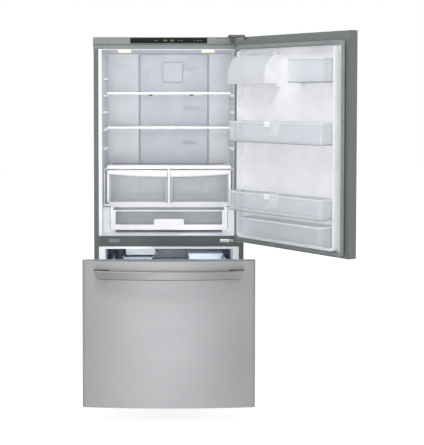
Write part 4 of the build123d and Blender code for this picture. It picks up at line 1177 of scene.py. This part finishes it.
@dataclass
class Camera:
    """The photograph's camera, found from the cabinet's corners, with part of its tilt as shift."""

    place: Point = (0.00016, -5.32214, 1.42537)
    pitch: float = 2.485
    lens: float = 87.429
    shift: Pair = (0.09684, -0.18)

    def build(self) -> None:
        """Make the camera and set it as the scene's."""
        data = bpy.data.cameras.new("photo_camera")
        data.lens = self.lens
        data.sensor_width = 36.0
        data.shift_x, data.shift_y = self.shift
        data.clip_start, data.clip_end = 0.05, 60.0
        camera = link_object("photo_camera", data)
        camera.location = self.place
        camera.rotation_euler = (float(np.radians(90.0 - self.pitch)), 0.0, 0.0)
        bpy.context.scene.camera = camera


@dataclass
class Lamp:
    """One soft square lamp that points at a place on the refrigerator."""

    name: str
    place: Point
    size: float
    watts: float
    target: Point = (0.1, 0.0, 0.9)
    spread: float = 180.0

    def build(self) -> None:
        """Hang the lamp and turn it: upwards by the aim's slope, then about the upright to face it."""
        data = bpy.data.lights.new(self.name, "AREA")
        data.energy, data.size = self.watts, self.size
        data.spread = float(np.radians(self.spread))
        lamp = link_object(self.name, data)
        lamp.location = self.place
        x, y, z = (np.array(self.target) - np.array(self.place)).tolist()
        tilt = float(np.pi / 2 + np.arctan2(z, np.hypot(x, y)))
        lamp.rotation_euler = (tilt, 0.0, float(np.arctan2(-x, y)))


@dataclass
class Studio:
    """White studio: a pale floor, an even surround and large soft lamps, with small ones in the cabinet."""

    surround: float = 0.6
    floor_share: float = 0.55
    floor_glow: float = 1.5
    floor_half: float = 14.0
    lamps: tuple[Lamp, ...] = (
        Lamp("lamp_front", (0.0, -5.7, 1.0), 1.4, 55.0),
        Lamp("lamp_left", (-3.6, -3.0, 2.2), 1.8, 13.0),
        Lamp("lamp_right", (3.6, -3.4, 2.2), 1.8, 15.0),
        Lamp("lamp_high", (-0.3, -1.95, 3.3), 1.0, 25.0),
        Lamp("lamp_rear", (0.4, 4.6, 3.4), 2.4, 50.0),
        Lamp("lamp_inside", (0.0, -1.9, 1.35), 0.5, 0.22, (0.0, 0.6, 1.25), 40.0),
        Lamp("lamp_ceiling", (0.0, 0.11, 1.632), 0.22, 0.55, (0.0, 0.42, 1.15), 175.0),
        Lamp("lamp_freezer", (0.15, 0.03, 0.655), 0.18, 0.35, (0.12, 0.4, 0.54), 175.0),
        Lamp("lamp_freezer_left", (-0.12, -0.03, 0.53), 0.2, 0.38, (-0.34, 0.14, 0.60), 160.0),
    )

    def surfaces_seen(self, tree: Tree) -> Socket:
        """Tell rays that should see a white background from rays that light the object.

        Args:
            tree: Node tree that takes the nodes.

        Returns:
            A socket that is 1 for camera, glossy and transmission rays.
        """
        path = add_node(tree, "ShaderNodeLightPath").outputs
        first = compute(tree, "MAXIMUM", path["Is Camera Ray"], path["Is Glossy Ray"])
        return compute(tree, "MAXIMUM", first, path["Is Transmission Ray"])

    def build_world(self) -> None:
        """Make the surround: white to the eye, dimmer as a light."""
        world = bpy.data.worlds.new("studio")
        tree = fresh_tree(world)
        seen = self.surfaces_seen(tree)
        dim, white = (
            add_node(tree, "ShaderNodeBackground", {"Color": linear("FFFFFF"), "Strength": strength}).outputs[0]
            for strength in (self.surround, 1.0)
        )
        blend = add_node(tree, "ShaderNodeMixShader", {0: seen, 1: dim, 2: white})
        add_node(tree, "ShaderNodeOutputWorld", {"Surface": blend.outputs[0]})
        bpy.context.scene.world = world

    def build_floor(self) -> None:
        """Make the floor: matt white, lifted to the background's white but keeping a soft shadow."""
        mesh = bpy.data.meshes.new("studio_floor")
        corners = np.column_stack([-CORNERS * self.floor_half, np.zeros(4)])
        mesh.from_pydata(corners.tolist(), [], [(0, 1, 2, 3)])
        floor = link_object("studio_floor", mesh)
        material = bpy.data.materials.new("studio_floor")
        tree = fresh_tree(material)
        share = compute(tree, "MULTIPLY", self.surfaces_seen(tree), self.floor_share)
        matt = add_node(tree, "ShaderNodeBsdfDiffuse", {"Color": linear("F4F4F4")}).outputs[0]
        white = {"Color": linear("FFFFFF"), "Strength": self.floor_glow}
        glow = add_node(tree, "ShaderNodeEmission", white).outputs[0]
        blend = add_node(tree, "ShaderNodeMixShader", {0: share, 1: matt, 2: glow})
        add_node(tree, "ShaderNodeOutputMaterial", {"Surface": blend.outputs[0]})
        mesh.materials.append(material)

    def build(self) -> None:
        """Make the surround, the floor and the lamps."""
        bpy.context.scene.view_settings.view_transform = "Standard"
        self.build_world()
        self.build_floor()
        for lamp in self.lamps:
            lamp.build()


def main() -> None:
    """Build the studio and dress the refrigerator."""
    logging.basicConfig(level=logging.INFO, format="%(name)s: %(message)s")
    Camera().build()
    Studio().build()
    dress_nodes()
    Seal("door_seal", "door_gasket", "fridge_door", Site.DOOR, (-0.356, 0.360), (0.720, 1.668)).build()
    Seal("drawer_seal", "drawer_gasket", "freezer_drawer", Site.DRAWER, (-0.352, 0.352), (0.086, 0.692)).build()
    panel = ControlPanel()
    panel.build()
    DoorHingeTrim().build()
    panel.build_marks()
    ShelfClips().build()
    bins = (
        ("lower_bin", 0.312, 0.972, 0.8838, (0.014, 0.016)),
        ("middle_bin", 0.312, 1.304, 1.2108, (0.014, 0.016)),
        ("pocket_bin", -0.092, 1.592, 1.4858, (0.010, 0.010)),
    )
    # the lips carry the white painted highlight
    for name, hinge_end, top, _, cut in bins:
        BinRim(f"{name}_lip", name, hinge_end, top, cut).build()
    BinRim("base_pocket_lip", "fridge_door", 0.236, 0.852, (0.020, 0.030)).build()
    # the lower edges carry the grey painted shade line
    for name, hinge_end, _, low, cut in bins:
        BinRim(f"{name}_edge", name, hinge_end, low, cut, wide=0.0022, tall=0.0034, finish=EDGE_PAINTED_SHADE).build()
    LidEdge().build()
    CrisperFront(Hand.LEFT).build()
    CrisperFront(Hand.RIGHT).build()
    HandleMounts().build()
    RailFittings().build()
    RearHem().build()
    Screws().build()


if __name__ == "__main__":
    main()
